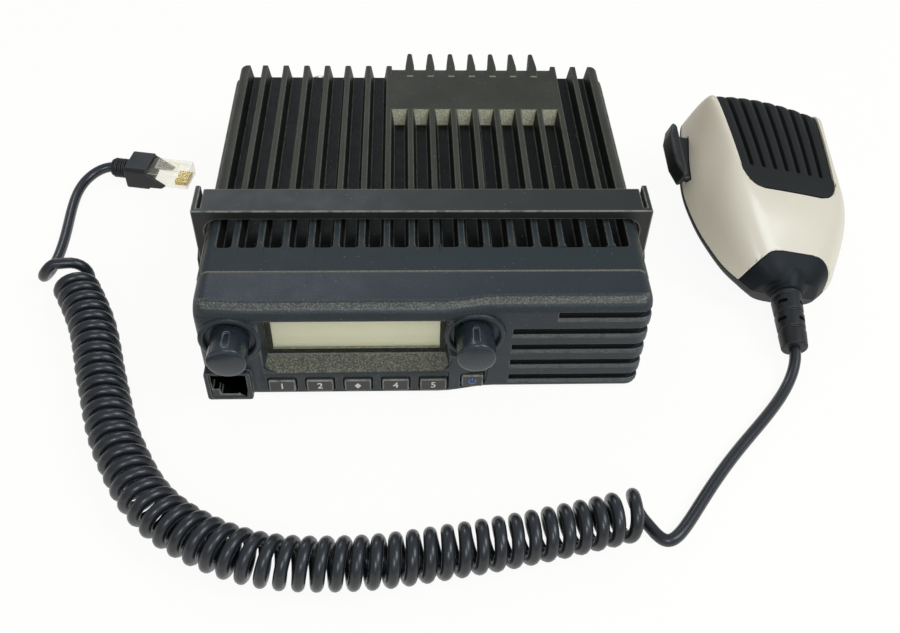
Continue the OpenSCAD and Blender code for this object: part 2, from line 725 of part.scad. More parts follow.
module bottom_cover() {
    color("#2b2c2d") difference() {
        translate([-cover_x, front_y, 0]) cube([2 * cover_x, chassis_l, cover_h]);
        translate([-chassis_w / 2, front_y - eps, cover_t]) cube([chassis_w, chassis_l + 2 * eps, cover_h]);
        along_x(-cover_x - eps, cover_x + eps) difference() {
            translate([rear_y - cover_r, cover_h - cover_r]) square(cover_r + eps);
            translate([rear_y - cover_r, cover_h - cover_r]) circle(cover_r);
        }
        for (x = [-1, 1]) translate([x * (chassis_w / 2 - eps), tilt_y, tilt_z])
            rotate([0, x * 90, 0]) cylinder(r = bolt_r + fit, h = cover_t + 2 * eps);
        for (p = cover_posts) translate([p[0], p[1], 0]) {
            cylinder(r = screw_r + fit, h = cover_t + eps);
            translate([0, 0, -fit]) cylinder(r1 = screw_head_r + fit, r2 = screw_r + fit, h = cover_t);
        }
    }
}

module cover_screws() {
    color("#1f1f1f") for (p = cover_posts) translate([p[0], p[1], 0]) {
        cylinder(r1 = screw_head_r, r2 = screw_r, h = cover_t - fit);
        cylinder(r = screw_r, h = cover_screw_l);
    }
}

module main_board() {
    color("#1f5a3a") difference() {
        translate([-board_x, board_front, board_z]) cube([2 * board_x, board_rear - board_front, board_t]);
        for (p = board_posts) translate([p[0], p[1], board_z - eps])
            cylinder(r = screw_r + fit, h = board_t + 2 * eps);
    }
}

module board_screws() {
    color("#b8b8b4") for (p = board_posts) translate([p[0], p[1], board_z]) {
        translate([0, 0, -screw_head_t]) cylinder(r = screw_head_r, h = screw_head_t);
        cylinder(r = screw_r, h = board_screw_l + board_t);
    }
}

module shield_can() {
    can = [44, 36, 9];
    can_wall = 0.8;
    can_x = -30;
    can_in = 14;
    color("#c9cac8") translate([can_x, board_front + can_in, board_z + board_t]) difference() {
        cube(can);
        translate([can_wall, can_wall, -eps])
            cube([can[0] - 2 * can_wall, can[1] - 2 * can_wall, can[2] - can_wall + eps]);
    }
}

module power_module() {
    size = [40, 20, 10];
    module_x = 4;
    module_in = 16;
    color("#303234") translate([module_x, rear_y - module_in - size[1], ceiling_z - size[2]]) cube(size);
}

module antenna_socket() {
    color("#c4c6c6") translate([socket_x, 0, socket_z]) difference() {
        union() {
            along_y(rear_y, rear_y + 1.6) rounded_rect(socket_flange, socket_flange, 2);
            rod_y(socket_r, rear_y, rear_y + socket_out);
            rod_y(socket_body_r, rear_y - 8, rear_y + eps);
        }
        rod_y(insulator_r + 0.6, rear_y + 3, rear_y + socket_out + eps);
        rod_y(insulator_r, rear_y - 8 - eps, rear_y + 3 + eps);
        for (x = [-1, 1], z = [-1, 1]) translate([x * 9.2, 0, z * 9.2])
            rod_y(screw_r, rear_y - eps, rear_y + 2);
    }
}

module antenna_insulator() {
    color("#efece4") translate([socket_x, 0, socket_z]) difference() {
        rod_y(insulator_r, rear_y - 8, rear_y + 8);
        rod_y(contact_r + 0.8, rear_y - 9, rear_y + 9);
    }
}

module antenna_contact() {
    color("#c9a24b") translate([socket_x, 0, socket_z]) difference() {
        rod_y(contact_r + 0.8, rear_y - 11, rear_y + 8);
        rod_y(contact_r, rear_y - 4, rear_y + 9);
    }
}

module supply_gland() {
    lip_t = 1.6;
    color("#191919") translate([gland_x, 0, gland_z]) difference() {
        union() {
            rod_y(gland_r + gland_lip, rear_y, rear_y + lip_t);
            rod_y(gland_r, rear_y - chassis_wall, rear_y);
            rod_y(gland_r + gland_lip, rear_y - chassis_wall - lip_t, rear_y - chassis_wall);
        }
        rod_y(gland_r - gland_lip, rear_y - chassis_wall - 2 * lip_t, rear_y + 2 * lip_t);
    }
}

module speaker_jack() {
    color("#202020") translate([ear_x, 0, ear_z]) difference() {
        union() {
            rod_y(ear_r + ear_lip, rear_y, rear_y + 1);
            rod_y(ear_r, rear_y - 12, rear_y);
        }
        rod_y(1.8, rear_y - 10, rear_y + 2);
    }
}

// Front panel: outlines in Y and Z from its left end to its right end
function arc(y, z, r, from, steps) = [for (k = [0 : steps])
    let (a = from - 90 * k / steps) [y + r * cos(a), z + r * sin(a)]];
function panel_section(x) =
    let (over = max(0, abs(x) - flat_x), inset = panel_side_r - sqrt(max(0, panel_side_r ^ 2 - over ^ 2)))
    let (y = panel_y(x) + inset, low = panel_z + inset * panel_low_r / panel_side_r, high = panel_top - inset)
    [for (p = concat(arc(y + panel_low_r, low + panel_low_r, panel_low_r, 270, 3),
        arc(y + panel_top_r, high - panel_top_r, panel_top_r, 180, 6), [[front_y, high], [front_y, low]]))
        [x, p[0], p[1]]];

module panel_body() {
    loft([for (x = panel_xs) panel_section(x)]);
}

module panel_hollow() {
    half = panel_w / 2 - panel_wall;
    corner = panel_side_r - panel_wall;
    xs = [for (x = panel_xs) if (abs(x) < flat_x + 0.1) x];
    translate([0, 0, panel_z + panel_wall]) linear_extrude(panel_top - panel_z - 2 * panel_wall)
        polygon(concat([[half, front_y + eps], [-half, front_y + eps]],
            [[-half, panel_y(-half) + panel_wall + corner]],
            [for (x = xs) [x, panel_y(x) + panel_wall]], [[half, right_y + panel_wall + corner]]));
}

module window_cut() {
    y0 = panel_front - eps;
    ledge_y = lens_deep + eps;
    side = 2;
    z0 = lens_z - lens_h / 2;
    z1 = lens_z + lens_h / 2;
    intersection() {
        along_x(lens_x - lens_w, lens_x + lens_w) polygon([[y0, z0 - ledge_h * ledge_y / lens_deep],
            [lens_y, z0], [front_y, z0], [front_y, z1], [lens_y, z1], [y0, z1 + 1.6]]);
        translate([lens_x, 0, 0]) linear_extrude(radio_h) polygon([[-lens_w / 2 - side, y0],
            [-lens_w / 2, lens_y], [-lens_w / 2, front_y], [lens_w / 2, front_y], [lens_w / 2, lens_y],
            [lens_w / 2 + side, y0]]);
    }
}

module window_surround() {
    z0 = lens_z - lens_h / 2 - ledge_h - 1.6;
    z1 = lens_z + lens_h / 2 + surround_edge;
    translate([lens_x - lens_w / 2 - surround_edge, panel_front + panel_wall - eps, z0])
        cube([lens_w + 2 * surround_edge, lens_deep - panel_wall + lens_t + eps, z1 - z0]);
}

module knob_cut(x) {
    y = panel_y(x);
    translate([x, 0, knob_z]) {
        rotate([-90, 0, 0]) translate([0, 0, y - 3])
            cylinder(r1 = dish_r + 3, r2 = dish_r - dish_d, h = 3 + dish_d);
        rod_y(shaft_r + 0.3, y - eps, y + panel_wall + 4);
    }
}

module speaker_slots() {
    for (i = [0 : slot_count - 1]) {
        slot_l = i == 0 ? slot_short : slot_long;
        z = slot_top - i * slot_pitch;
        translate([panel_w / 2 - slot_l, panel_front - eps, z - slot_h / 2])
            cube([slot_l + eps, right_drop + panel_wall + 4, slot_h]);
    }
}

module front_panel() {
    jack_y = panel_front - jack_out;
    color("#1d1e1f") difference() {
        union() {
            difference() {
                panel_body();
                panel_hollow();
            }
            window_surround();
            translate([jack_x, 0, jack_z]) along_y(jack_y, front_board_y - 4)
                rounded_rect(jack_block_w, jack_block_h, 1.2);
            for (p = panel_bosses) translate([p[0], 0, p[1]])
                rod_y(panel_boss_r, panel_y(p[0]) + panel_wall - 0.4, front_y);
            for (p = board_bosses) translate([p[0], 0, p[1]])
                rod_y(board_boss_r, panel_y(p[0]) + panel_wall - 0.4, front_board_y);
        }
        window_cut();
        knob_cut(volume_x);
        knob_cut(channel_x);
        for (x = key_xs) key_cut(x, key_w);
        key_cut(power_x, power_w);
        translate([jack_x, 0, jack_z]) along_y(jack_y - eps, front_board_y + eps)
            square([jack_w, jack_h], center = true);
        speaker_slots();
        for (p = panel_bosses) translate([p[0], 0, p[1]]) rod_y(screw_r, front_y - 6, front_y + eps);
        for (p = board_bosses) translate([p[0], 0, p[1]])
            rod_y(screw_r, front_board_y - 5, front_board_y + eps);
    }
}

module panel_screws() {
    color("#b8b8b4") for (p = panel_bosses) translate([p[0], front_y + chassis_wall, p[1]]) {
        rod_y(screw_head_r, 0, screw_head_t);
        rod_y(screw_r, -chassis_wall - 5.6, 0);
    }
}

module front_board() {
    color("#1f5a3a") difference() {
        translate([front_board_x[0], front_board_y, front_board_z[0]])
            cube([front_board_x[1] - front_board_x[0], front_board_t, front_board_z[1] - front_board_z[0]]);
        for (p = board_bosses) translate([p[0], 0, p[1]])
            rod_y(screw_r + fit, front_board_y - eps, front_board_y + front_board_t + eps);
        for (p = panel_bosses) translate([p[0], 0, p[1]])
            rod_y(panel_boss_r + 0.3, front_board_y - eps, front_board_y + front_board_t + eps);
    }
}

module front_board_screws() {
    color("#b8b8b4") for (p = board_bosses) translate([p[0], front_board_y + front_board_t, p[1]]) {
        rod_y(screw_head_r, 0, screw_head_t);
        rod_y(screw_r, -front_board_t - 4.6, 0);
    }
}

module display_lens() {
    color([0.85, 0.88, 0.85, 0.4]) translate([lens_x - lens_w / 2 + fit, lens_y, lens_z - lens_h / 2 + fit])
        cube([lens_w - 2 * fit, lens_t, lens_h - 2 * fit]);
}

module display_frame() {
    color("#151515") translate([lens_x, lens_y + lens_t, lens_z]) difference() {
        translate([-lens_w / 2, 0, -lens_h / 2]) cube([lens_w, frame_t, lens_h]);
        translate([-lcd_w / 2, -eps, -lcd_h / 2]) cube([lcd_w, frame_t + 2 * eps, lcd_h]);
    }
}

module lcd_panel() {
    color("#b9b496") translate([lens_x - lens_w / 2, lens_y + lens_t + frame_t, lens_z - lens_h / 2])
        cube([lens_w, lcd_t, lens_h]);
}

module lcd_backlight() {
    y0 = lens_y + lens_t + frame_t + lcd_t;
    color("#dcdcd6") translate([lens_x - lens_w / 2, y0, lens_z - lens_h / 2])
        cube([lens_w, front_board_y - y0, lens_h]);
}

// Knobs and their controls
module knob(x) {
    base_y = panel_y(x) + dish_d - knob_gap;
    rim = 1.2;
    crown = 0.8;
    groove_w = 2.2;
    color("#222326") translate([x, base_y, knob_z]) rotate([90, 0, 0]) difference() {
        rotate_extrude() {
            square([knob_r, knob_l - rim]);
            square([knob_r - rim, knob_l]);
            translate([knob_r - rim, knob_l - rim]) circle(rim);
            polygon([[0, knob_l], [knob_r - rim, knob_l], [(knob_r - rim) / 2, knob_l + crown * 0.7],
                [0, knob_l + crown]]);
        }
        translate([0, 0, -eps]) cylinder(r = shaft_r, h = knob_l - 3 + eps);
        translate([-groove_w / 2, knob_r - 0.7, 2.5]) cube([groove_w, 2, knob_l - 5]);
    }
}

module shaft(x) {
    color("#b9bab8") translate([x, 0, knob_z])
        rod_y(shaft_r, panel_y(x) + dish_d - knob_gap - knob_l + 3, front_board_y - pot_l);
}

module control(x) {
    color("#5f676e") translate([x - pot_size / 2, front_board_y - pot_l, knob_z - pot_size / 2])
        cube([pot_size, pot_l, pot_size]);
}

module volume_knob() { knob(volume_x); }
module volume_shaft() { shaft(volume_x); }
module volume_control() { control(volume_x); }
module channel_knob() { knob(channel_x); }
module channel_shaft() { shaft(channel_x); }
module channel_control() { control(channel_x); }

// Keys
function key_flange_y(x, w) = max(panel_y(x - w / 2 - key_flange), panel_y(x + w / 2 + key_flange))
    + panel_wall + 0.2;

module key_cut(x, w) {
    translate([x, 0, key_z]) along_y(panel_front - eps, panel_y(x) + panel_wall + 4)
        rounded_rect(w + 2 * key_gap, key_h + 2 * key_gap, 0.9);
}

module key(x, w) {
    y1 = key_flange_y(x, w);
    color("#2a2b2c") translate([x, 0, key_z]) {
        along_y(panel_y(x) - key_out, y1) rounded_rect(w, key_h, 0.8);
        translate([-w / 2 - key_flange, y1, -key_h / 2]) cube([w + 2 * key_flange, flange_t, key_h]);
        rod_y(stem_r, y1 + flange_t, y1 + flange_t + stem_l);
    }
}

module key_switch(x, w) {
    y0 = key_flange_y(x, w) + flange_t + stem_l + plunger_gap;
    translate([x, 0, key_z]) {
        rod_y(stem_r, y0, y0 + 1);
        translate([-switch_size / 2, y0 + 1, -2.5]) cube([switch_size, front_board_y - y0 - 1, 5]);
    }
}

module key_1() { key(key_xs[0], key_w); }
module key_2() { key(key_xs[1], key_w); }
module key_3() { key(key_xs[2], key_w); }
module key_4() { key(key_xs[3], key_w); }
module key_5() { key(key_xs[4], key_w); }
module power_key() { key(power_x, power_w); }

module key_switches() {
    color("#8a8f92") {
        for (x = key_xs) key_switch(x, key_w);
        key_switch(power_x, power_w);
    }
}

// Microphone socket
latch_slot_h = 2.8;
hollow_w = plug_w + 0.4;
hollow_h = plug_h + 0.4;
hollow_z = jack_h / 2 - 0.9 - hollow_h;

module mic_jack() {
    y0 = panel_front - jack_out + 0.4;
    color("#3a3b3c") translate([jack_x, 0, jack_z]) difference() {
        along_y(y0, front_board_y) square([jack_w - 2 * fit, jack_h - 2 * fit], center = true);
        translate([-hollow_w / 2, y0 - eps, hollow_z]) cube([hollow_w, jack_hollow + eps, hollow_h]);
        translate([-latch_w / 2 - 0.3, y0 - eps, hollow_z - latch_slot_h])
            cube([latch_w + 0.6, jack_hollow + eps, latch_slot_h + eps]);
    }
}

module jack_contacts() {
    pin_w = 0.5;
    pin_pitch = 1.02;
    y1 = panel_front - jack_out + 0.4 + jack_hollow;
    color("#cfa74a") for (i = [0 : contact_count - 1])
        translate([jack_x + (i - (contact_count - 1) / 2) * pin_pitch - pin_w / 2, y1 - 9,
            jack_z + hollow_z + hollow_h - 0.6]) cube([pin_w, 9, 0.6]);
}

// Loudspeaker
module speaker_cloth() {
    y0 = speaker_y - cloth_t;
    side = panel_w / 2 - panel_wall;
    bend = panel_side_r - panel_wall + cloth_t;
    color("#101010") translate([0, 0, cloth_z[0]]) linear_extrude(cloth_z[1] - cloth_z[0])
        polygon([[cloth_x, y0], [side - bend, y0], [side, y0 + bend], [side, y0 + 7],
            [side - cloth_t, y0 + 7], [side - cloth_t, y0 + bend], [side - bend, y0 + cloth_t],
            [cloth_x, y0 + cloth_t]]);
}

module in_speaker() {
    translate([speaker_x, speaker_y, speaker_z]) rotate([-90, 0, 0]) children();
}

speaker_rim = 2.4;
magnet_r = 11;
magnet_h = 4;

module speaker_frame() {
    basket_h = speaker_d - magnet_h;
    color("#6b6e70") in_speaker() rotate_extrude() polygon([[speaker_r - speaker_rim, 0], [speaker_r, 0],
        [speaker_r, 1.4], [speaker_r - 1, 1.4], [magnet_r, basket_h], [6, basket_h], [6, basket_h - 1],
        [magnet_r - 0.6, basket_h - 1], [speaker_r - speaker_rim, 1.4]]);
}

module speaker_cone() {
    color("#26221f") in_speaker() rotate_extrude() polygon([[speaker_r - speaker_rim, 0.2],
        [speaker_r - speaker_rim, 1], [5, 5.6], [0, 5], [0, 4.2], [5, 4.8]]);
}

module speaker_magnet() {
    color("#55585a") in_speaker() translate([0, 0, speaker_d - magnet_h])
        cylinder(r = magnet_r, h = magnet_h);
}

// Bracket
module bracket_web() {
    inner = bracket_out - web_in;
    inner_z = bracket_top - web_h;
    corner_x = inner - bracket_corner_r;
    difference() {
        translate([-bracket_out, tilt_z]) square([2 * bracket_out, bracket_top - tilt_z]);
        translate([-inner, tilt_z - eps]) square([2 * inner, inner_z - bracket_corner_r - tilt_z + eps]);
        translate([-corner_x, tilt_z]) square([2 * corner_x, inner_z - tilt_z]);
        for (x = [-1, 1]) translate([x * corner_x, inner_z - bracket_corner_r]) circle(bracket_corner_r);
    }
}

module bracket() {
    strip_x = bracket_out - bracket_t - slit_w;
    color("#262728") difference() {
        union() {
            along_y(web_y, web_y + bracket_t) bracket_web();
            translate([-strip_x, web_y, bracket_top - bracket_t]) cube([2 * strip_x, strip_d, bracket_t]);
            for (x = [-bracket_out, bracket_out - bracket_t]) {
                translate([x, web_y, tilt_z]) cube([bracket_t, arm_d, bracket_top - tilt_z]);
                along_x(x, x + bracket_t) translate([tilt_y, tilt_z]) circle(arm_end_r);
            }
        }
        for (x = [-1, 1]) translate([x * (bracket_in - eps), tilt_y, tilt_z])
            rotate([0, x * 90, 0]) cylinder(r = bolt_r + bolt_gap, h = bracket_t + 2 * eps);
    }
}

module bracket_bolts() {
    head_x = bracket_out + washer_gap;
    color("#a9abab") for (x = [-1, 1]) translate([x * head_x, tilt_y, tilt_z]) rotate([0, x * 90, 0]) {
        cylinder(r = bolt_head_r, h = bolt_head_t);
        cylinder(r = hex_r, h = bolt_head_t + hex_t, $fn = 6);
        translate([0, 0, chassis_w / 2 - bolt_l - head_x])
            cylinder(r = bolt_r, h = head_x - chassis_w / 2 + bolt_l);
    }
}

module bracket_washers() {
    gap = bracket_in - cover_x - washer_gap;
    color("#2f2f30") for (x = [-1, 1]) translate([x * cover_x, tilt_y, tilt_z]) rotate([0, x * 90, 0])
        difference() {
            cylinder(r = washer_r, h = gap);
            translate([0, 0, -eps]) cylinder(r = bolt_r, h = gap + 2 * eps);
        }
}

// Microphone
module mic_upper() {
    loft([for (row = mic_stations) mic_front_section(row)]);
}

// The place of the cord cover, seen from the front
module cord_cover_field() {
    far = -mic_down - 5;
    translate([0, 0, mic_joint - eps]) linear_extrude(mic_t) polygon([[-cover_edge[0], cover_edge[1]],
        [cover_edge[0], cover_edge[1]], cover_corner, [mic_half_w, cover_corner[1]], [mic_half_w, far],
        [-mic_half_w, far], [-mic_half_w, cover_corner[1]], [-cover_corner[0], cover_corner[1]]]);
}

module grille_outline(gap) {
    side = [[grille_top_w + gap, grille_l + gap], [grille_low_w + gap, 0],
        [grille_low_w - 0.6 + gap, -grille_lip + 5], [grille_low_w - 2.8 + gap, -grille_lip + 1.5],
        [grille_low_w - 6.9, -grille_lip - gap]];
    polygon(concat(side, [for (k = [len(side) - 1 : -1 : 0]) [-side[k][0], side[k][1]]]));
}

module mic_screw_bores(r) {
    for (p = mic_screw_spots) translate([p[0], p[1], -eps])
        cylinder(r = r, h = mic_floor + mic_screw_l + eps);
}

module ptt_opening(gap) {
    translate([ptt_base_x - 6, ptt_y - ptt_neck_l / 2 - gap, ptt_neck_z[0] - gap])
        cube([ptt_inner_x - ptt_base_x + 9, ptt_neck_l + 2 * gap, ptt_neck_z[1] - ptt_neck_z[0] + 2 * gap]);
}

module mic_front_shell() {
    color("#d6cfbd") in_mic() difference() {
        mic_upper();
        cord_cover_field();
        translate([0, 0, mic_joint - eps]) linear_extrude(mic_hollow_top - mic_joint + eps)
            polygon(mic_hollow);
        translate([0, 0, mic_t - grille_t - grille_depth]) linear_extrude(grille_t + 5) grille_outline(fit);
        translate([0, capsule_y, mic_hollow_top - eps]) cylinder(r = capsule_r, h = mic_t);
        ptt_opening(ptt_gap);
        mic_screw_bores(screw_r);
    }
}

// Room for the strain relief, with its base as the seat
module relief_room() {
    translate([relief_x, relief_y, relief_z]) rotate([90, 0, -relief_turn]) 
        cylinder(r = relief_room_r, h = relief_room_l);
}

module mic_cord_cover() {
    color("#20262c") in_mic() difference() {
        intersection() {
            mic_upper();
            cord_cover_field();
        }
        relief_room();
    }
}

module mic_back_shell() {
    color("#2a2c2e") in_mic() difference() {
        loft(mic_back);
        translate([0, 0, mic_floor]) linear_extrude(mic_joint) difference() {
            polygon(mic_hollow);
            for (p = mic_posts) translate(p) circle(mic_post_r);
        }
        relief_room();
        mic_screw_bores(screw_r + fit);
        for (p = mic_screw_spots) translate([p[0], p[1], -eps])
            cylinder(r = screw_head_r + fit, h = mic_floor + eps);
    }
    color("#2a2c2e") in_mic() for (p = mic_posts) translate([p[0], p[1], mic_joint - eps])
        cylinder(r = mic_post_r, h = mic_board_z - mic_joint + eps);
}

module mic_grille() {
    gap_share = 0.3;
    z0 = mic_t - grille_t - grille_depth;
    color("#33373a") in_mic() difference() {
        intersection() {
            translate([0, 0, z0]) linear_extrude(2 * grille_t) grille_outline(0);
            mic_upper();
        }
        for (i = [1 : rib_count - 1]) {
            t = 2 * i / rib_count - 1;
            top = grille_top_w * gap_share / rib_count;
            low = grille_low_w * gap_share / rib_count;
            translate([0, 0, z0 + grille_t - rib_d]) linear_extrude(2 * grille_t) polygon([
                [t * grille_top_w - top, grille_l + eps], [t * grille_top_w + top, grille_l + eps],
                [t * grille_low_w + low, rib_foot], [t * grille_low_w - low, rib_foot]]);
        }
    }
}

module mic_strain_relief() {
    notch = relief_l / 5;
    color("#17191b") in_mic() translate([relief_x, relief_y, relief_z]) rotate([90, 0, -relief_turn])
        rotate_extrude() polygon([[0, 0], [6.2, 0], [5.6, notch * 0.7], [4.5, notch * 0.8],
            [4.5, notch], [5.3, notch * 1.1], [5.1, notch * 1.8], [4.1, notch * 1.9], [4.1, notch * 2.1],
            [4.9, notch * 2.2],
            [4.7, notch * 2.9], [3.8, notch * 3], [3.8, notch * 3.3], [4.6, notch * 3.6], [5, notch * 4.1],
            [5, notch * 4.6], [4.2, relief_l], [0, relief_l]]);
}

module mic_hanger_stud() {
    color("#8d9092") in_mic() translate([0, 0, -stud_l]) rotate_extrude() {
        square([stud_head_r - 0.6, stud_head_t]);
        translate([0, 0.6]) square([stud_head_r, stud_head_t - 1.2]);
        square([stud_neck_r, stud_l]);
        translate([0, stud_l - stud_base_t]) square([stud_base_r, stud_base_t]);
    }
}

module mic_screws() {
    color("#9b9d9d") in_mic() for (p = mic_screw_spots) translate([p[0], p[1], mic_floor]) {
        translate([0, 0, -screw_head_t]) cylinder(r = screw_head_r, h = screw_head_t);
        cylinder(r = screw_r, h = mic_screw_l);
    }
}

module mic_board() {
    color("#1f5a3a") in_mic() translate([-mic_board[0] / 2, mic_board_y, mic_board_z]) cube(mic_board);
}

module mic_capsule() {
    color("#77797b") in_mic() translate([0, capsule_y, mic_t - grille_t - grille_depth - capsule_t])
        cylinder(r = capsule_r, h = capsule_t);
}

module ptt_button() {
    half = ptt_l / 2;
    bevel = 5;
    color("#141516") in_mic() translate([0, ptt_y, 0]) {
        translate([0, 0, ptt_z[0]]) linear_extrude(ptt_z[1] - ptt_z[0]) polygon([[ptt_base_x, -half + 2],
            [ptt_base_x, half - 2], [ptt_base_x - 2, half], [ptt_face_x + 1, half - bevel],
            [ptt_face_x, half - bevel - 3], [ptt_face_x, -half + bevel + 3], [ptt_face_x + 1, -half + bevel],
            [ptt_base_x - 2, -half]]);
        translate([ptt_base_x - eps, -ptt_neck_l / 2, ptt_neck_z[0]])
            cube([ptt_inner_x - ptt_base_x + eps, ptt_neck_l, ptt_neck_z[1] - ptt_neck_z[0]]);
    }
}

module ptt_switch() {
    x0 = ptt_inner_x + ptt_travel + 0.3;
    color("#6f7a86") in_mic()
        translate([x0, ptt_y - ptt_switch_size[1] / 2, mic_board_z - ptt_switch_size[2]]) cube(ptt_switch_size);
}

// Cord and plug
module cord_mic_tail() {
    color("#1b1d20") free_cord(mic_tail);
}

module cord_plug_tail() {
    color("#1b1d20") free_cord(plug_tail);
}

module curly_cord() {
    color("#1b1d20") tube(curl_line, curl_dirs, carried(curl_dirs, [0, 0, 1]), cord_r, cord_sides);
}

module plug_body() {
    tongue_z = plug_z + plug_h;
    color([0.93, 0.9, 0.78, 0.6]) in_plug() difference() {
        union() {
            translate([-plug_l, -plug_w / 2, plug_z]) cube([plug_l, plug_w, plug_h]);
            along_y(-latch_w / 2, latch_w / 2) polygon([[-1, tongue_z], [-3, tongue_z + 0.7],
                [-plug_l + 7, tongue_z + 1.9], [-plug_l + 7, tongue_z + 0.8], [-5, tongue_z]]);
        }
        for (i = [0 : contact_count - 1])
            translate([-6.2, (i - (contact_count - 1) / 2) * 1.02 - 0.3, plug_z - eps])
                cube([6.2 + eps, 0.6, 3]);
    }
}

module plug_contacts() {
    color("#d2ab4c") in_plug() for (i = [0 : contact_count - 1])
        translate([-6.2, (i - (contact_count - 1) / 2) * 1.02 - 0.3, plug_z + 0.4]) cube([5.6, 0.6, 2.1]);
}

module plug_boot() {
    rib_r = 0.5;
    block_x = -plug_l + plug_held;
    color("#1e2023") in_plug() difference() {
        union() {
            translate([0, 0, boot_h / 2]) along_x(block_x - boot_l, block_x)
                rounded_rect(boot_w, boot_h, 1.6);
            for (y = [-1, 1])
                along_y(y * boot_w / 2 - (y > 0 ? wing_t : 0), y * boot_w / 2 + (y < 0 ? wing_t : 0))
                    polygon([[block_x - 1, 1.6], [block_x + wing_l - 2, 1.6], [block_x + wing_l, 3.2],
                        [block_x, boot_h - 1.6], [block_x - 1, boot_h - 1.6]]);
            translate([block_x - boot_l + eps, 0, boot_h / 2]) rotate([0, -90, 0]) {
                cylinder(r = collar_r - rib_r, h = collar_l + eps);
                for (k = [0 : 3]) translate([0, 0, 1 + k * (collar_l - 1) / 4])
                    cylinder(r = collar_r, h = (collar_l - 1) / 8);
            }
        }
        translate([block_x - plug_held, -plug_w / 2 - fit, plug_z - fit])
            cube([plug_held + eps, plug_w + 2 * fit, plug_h + 2 * fit]);
    }
}

chassis();
bottom_cover();
cover_screws();
main_board();
board_screws();
shield_can();
power_module();
antenna_socket();
antenna_insulator();
antenna_contact();
supply_gland();
speaker_jack();
front_panel();
panel_screws();
front_board();
front_board_screws();
display_lens();
display_frame();
lcd_panel();
lcd_backlight();
volume_knob();
volume_shaft();
volume_control();
channel_knob();
channel_shaft();
channel_control();
key_1();
key_2();
key_3();
key_4();
key_5();
power_key();
key_switches();
mic_jack();
jack_contacts();
speaker_cloth();
speaker_frame();
speaker_cone();
speaker_magnet();
bracket();
bracket_bolts();
bracket_washers();
mic_front_shell();
mic_back_shell();
mic_grille();
mic_cord_cover();
mic_strain_relief();
mic_hanger_stud();
mic_screws();
mic_board();
mic_capsule();
ptt_button();
ptt_switch();
cord_mic_tail();
curly_cord();
cord_plug_tail();
plug_boot();
plug_body();
plug_contacts();
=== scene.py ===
"""Looks of a mobile two-way radio in its bracket, with a hand microphone on a curly cord beside it."""

from __future__ import annotations

import json
import logging
import math
from abc import ABC, abstractmethod
from contextlib import contextmanager
from dataclasses import dataclass, field
from enum import Enum
from typing import Callable, Dict, Iterable, Iterator, List, Optional, Sequence, Tuple, Union

import bmesh
import bpy
from mathutils import Matrix, Vector

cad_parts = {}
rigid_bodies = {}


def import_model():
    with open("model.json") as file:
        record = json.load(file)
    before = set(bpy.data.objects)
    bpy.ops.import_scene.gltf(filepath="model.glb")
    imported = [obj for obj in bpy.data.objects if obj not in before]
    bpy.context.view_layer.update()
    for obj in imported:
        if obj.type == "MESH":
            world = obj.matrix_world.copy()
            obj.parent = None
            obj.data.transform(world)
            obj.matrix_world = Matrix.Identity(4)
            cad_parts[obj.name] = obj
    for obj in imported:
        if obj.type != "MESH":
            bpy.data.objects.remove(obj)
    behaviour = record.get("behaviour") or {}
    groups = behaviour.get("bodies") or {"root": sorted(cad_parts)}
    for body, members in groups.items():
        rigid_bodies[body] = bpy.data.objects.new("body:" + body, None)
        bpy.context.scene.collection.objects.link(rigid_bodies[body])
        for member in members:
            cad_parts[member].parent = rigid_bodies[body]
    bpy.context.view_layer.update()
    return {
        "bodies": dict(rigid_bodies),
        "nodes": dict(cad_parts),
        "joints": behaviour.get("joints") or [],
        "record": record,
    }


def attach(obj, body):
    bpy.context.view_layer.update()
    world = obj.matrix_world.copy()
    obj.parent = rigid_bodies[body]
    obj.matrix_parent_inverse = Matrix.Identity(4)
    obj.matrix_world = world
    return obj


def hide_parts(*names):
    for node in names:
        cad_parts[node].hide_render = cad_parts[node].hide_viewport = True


LOG = logging.getLogger("mobile_radio")
MM = 0.001
WELD = 2e-6
FLAT_ANGLE = 0.5
BEVEL_ANGLE = 32.0
SHARP_ANGLE = 38.0
BLUNT_ANGLE = 40.0
RIM_ANGLE = 50.0
TUBE_ANGLE = 60.0
RADIO = "radio"
# Layer of the bevelled faces, which take a painted edge highlight.
EDGE_HIGHLIGHT_LAYER = "edge"
# Layer of the deck, which takes a painted reflection.
DECK_SHEEN_LAYER = "deck"

Mesh = bpy.types.Mesh
Piece = bpy.types.Object
Colour = Tuple[float, float, float, float]
Point = Tuple[float, float, float]
Flat = Tuple[float, float]
Row = Sequence[float]
Value = Union[float, int, Sequence[float], "Link"]

WHITE: Colour = (1.0, 1.0, 1.0, 1.0)


def srgb(red: int, green: int, blue: int) -> Colour:
    """Turn a screen colour, with parts from 0 to 255, into the linear colour that a shader takes."""
    parts = []
    for part in (red, green, blue):
        share = part / 255
        parts.append(share / 12.92 if share <= 0.04045 else ((share + 0.055) / 1.055) ** 2.4)
    return (parts[0], parts[1], parts[2], 1.0)


def scaled(colour: Colour, factor: float) -> Colour:
    """Return a lighter or darker shade of a colour."""
    return (colour[0] * factor, colour[1] * factor, colour[2] * factor, 1.0)


def eased(share: float) -> float:
    """Ease from 0 to 1."""
    u = min(1.0, max(0.0, share))
    return u * u * (3 - 2 * u)


# Node graphs


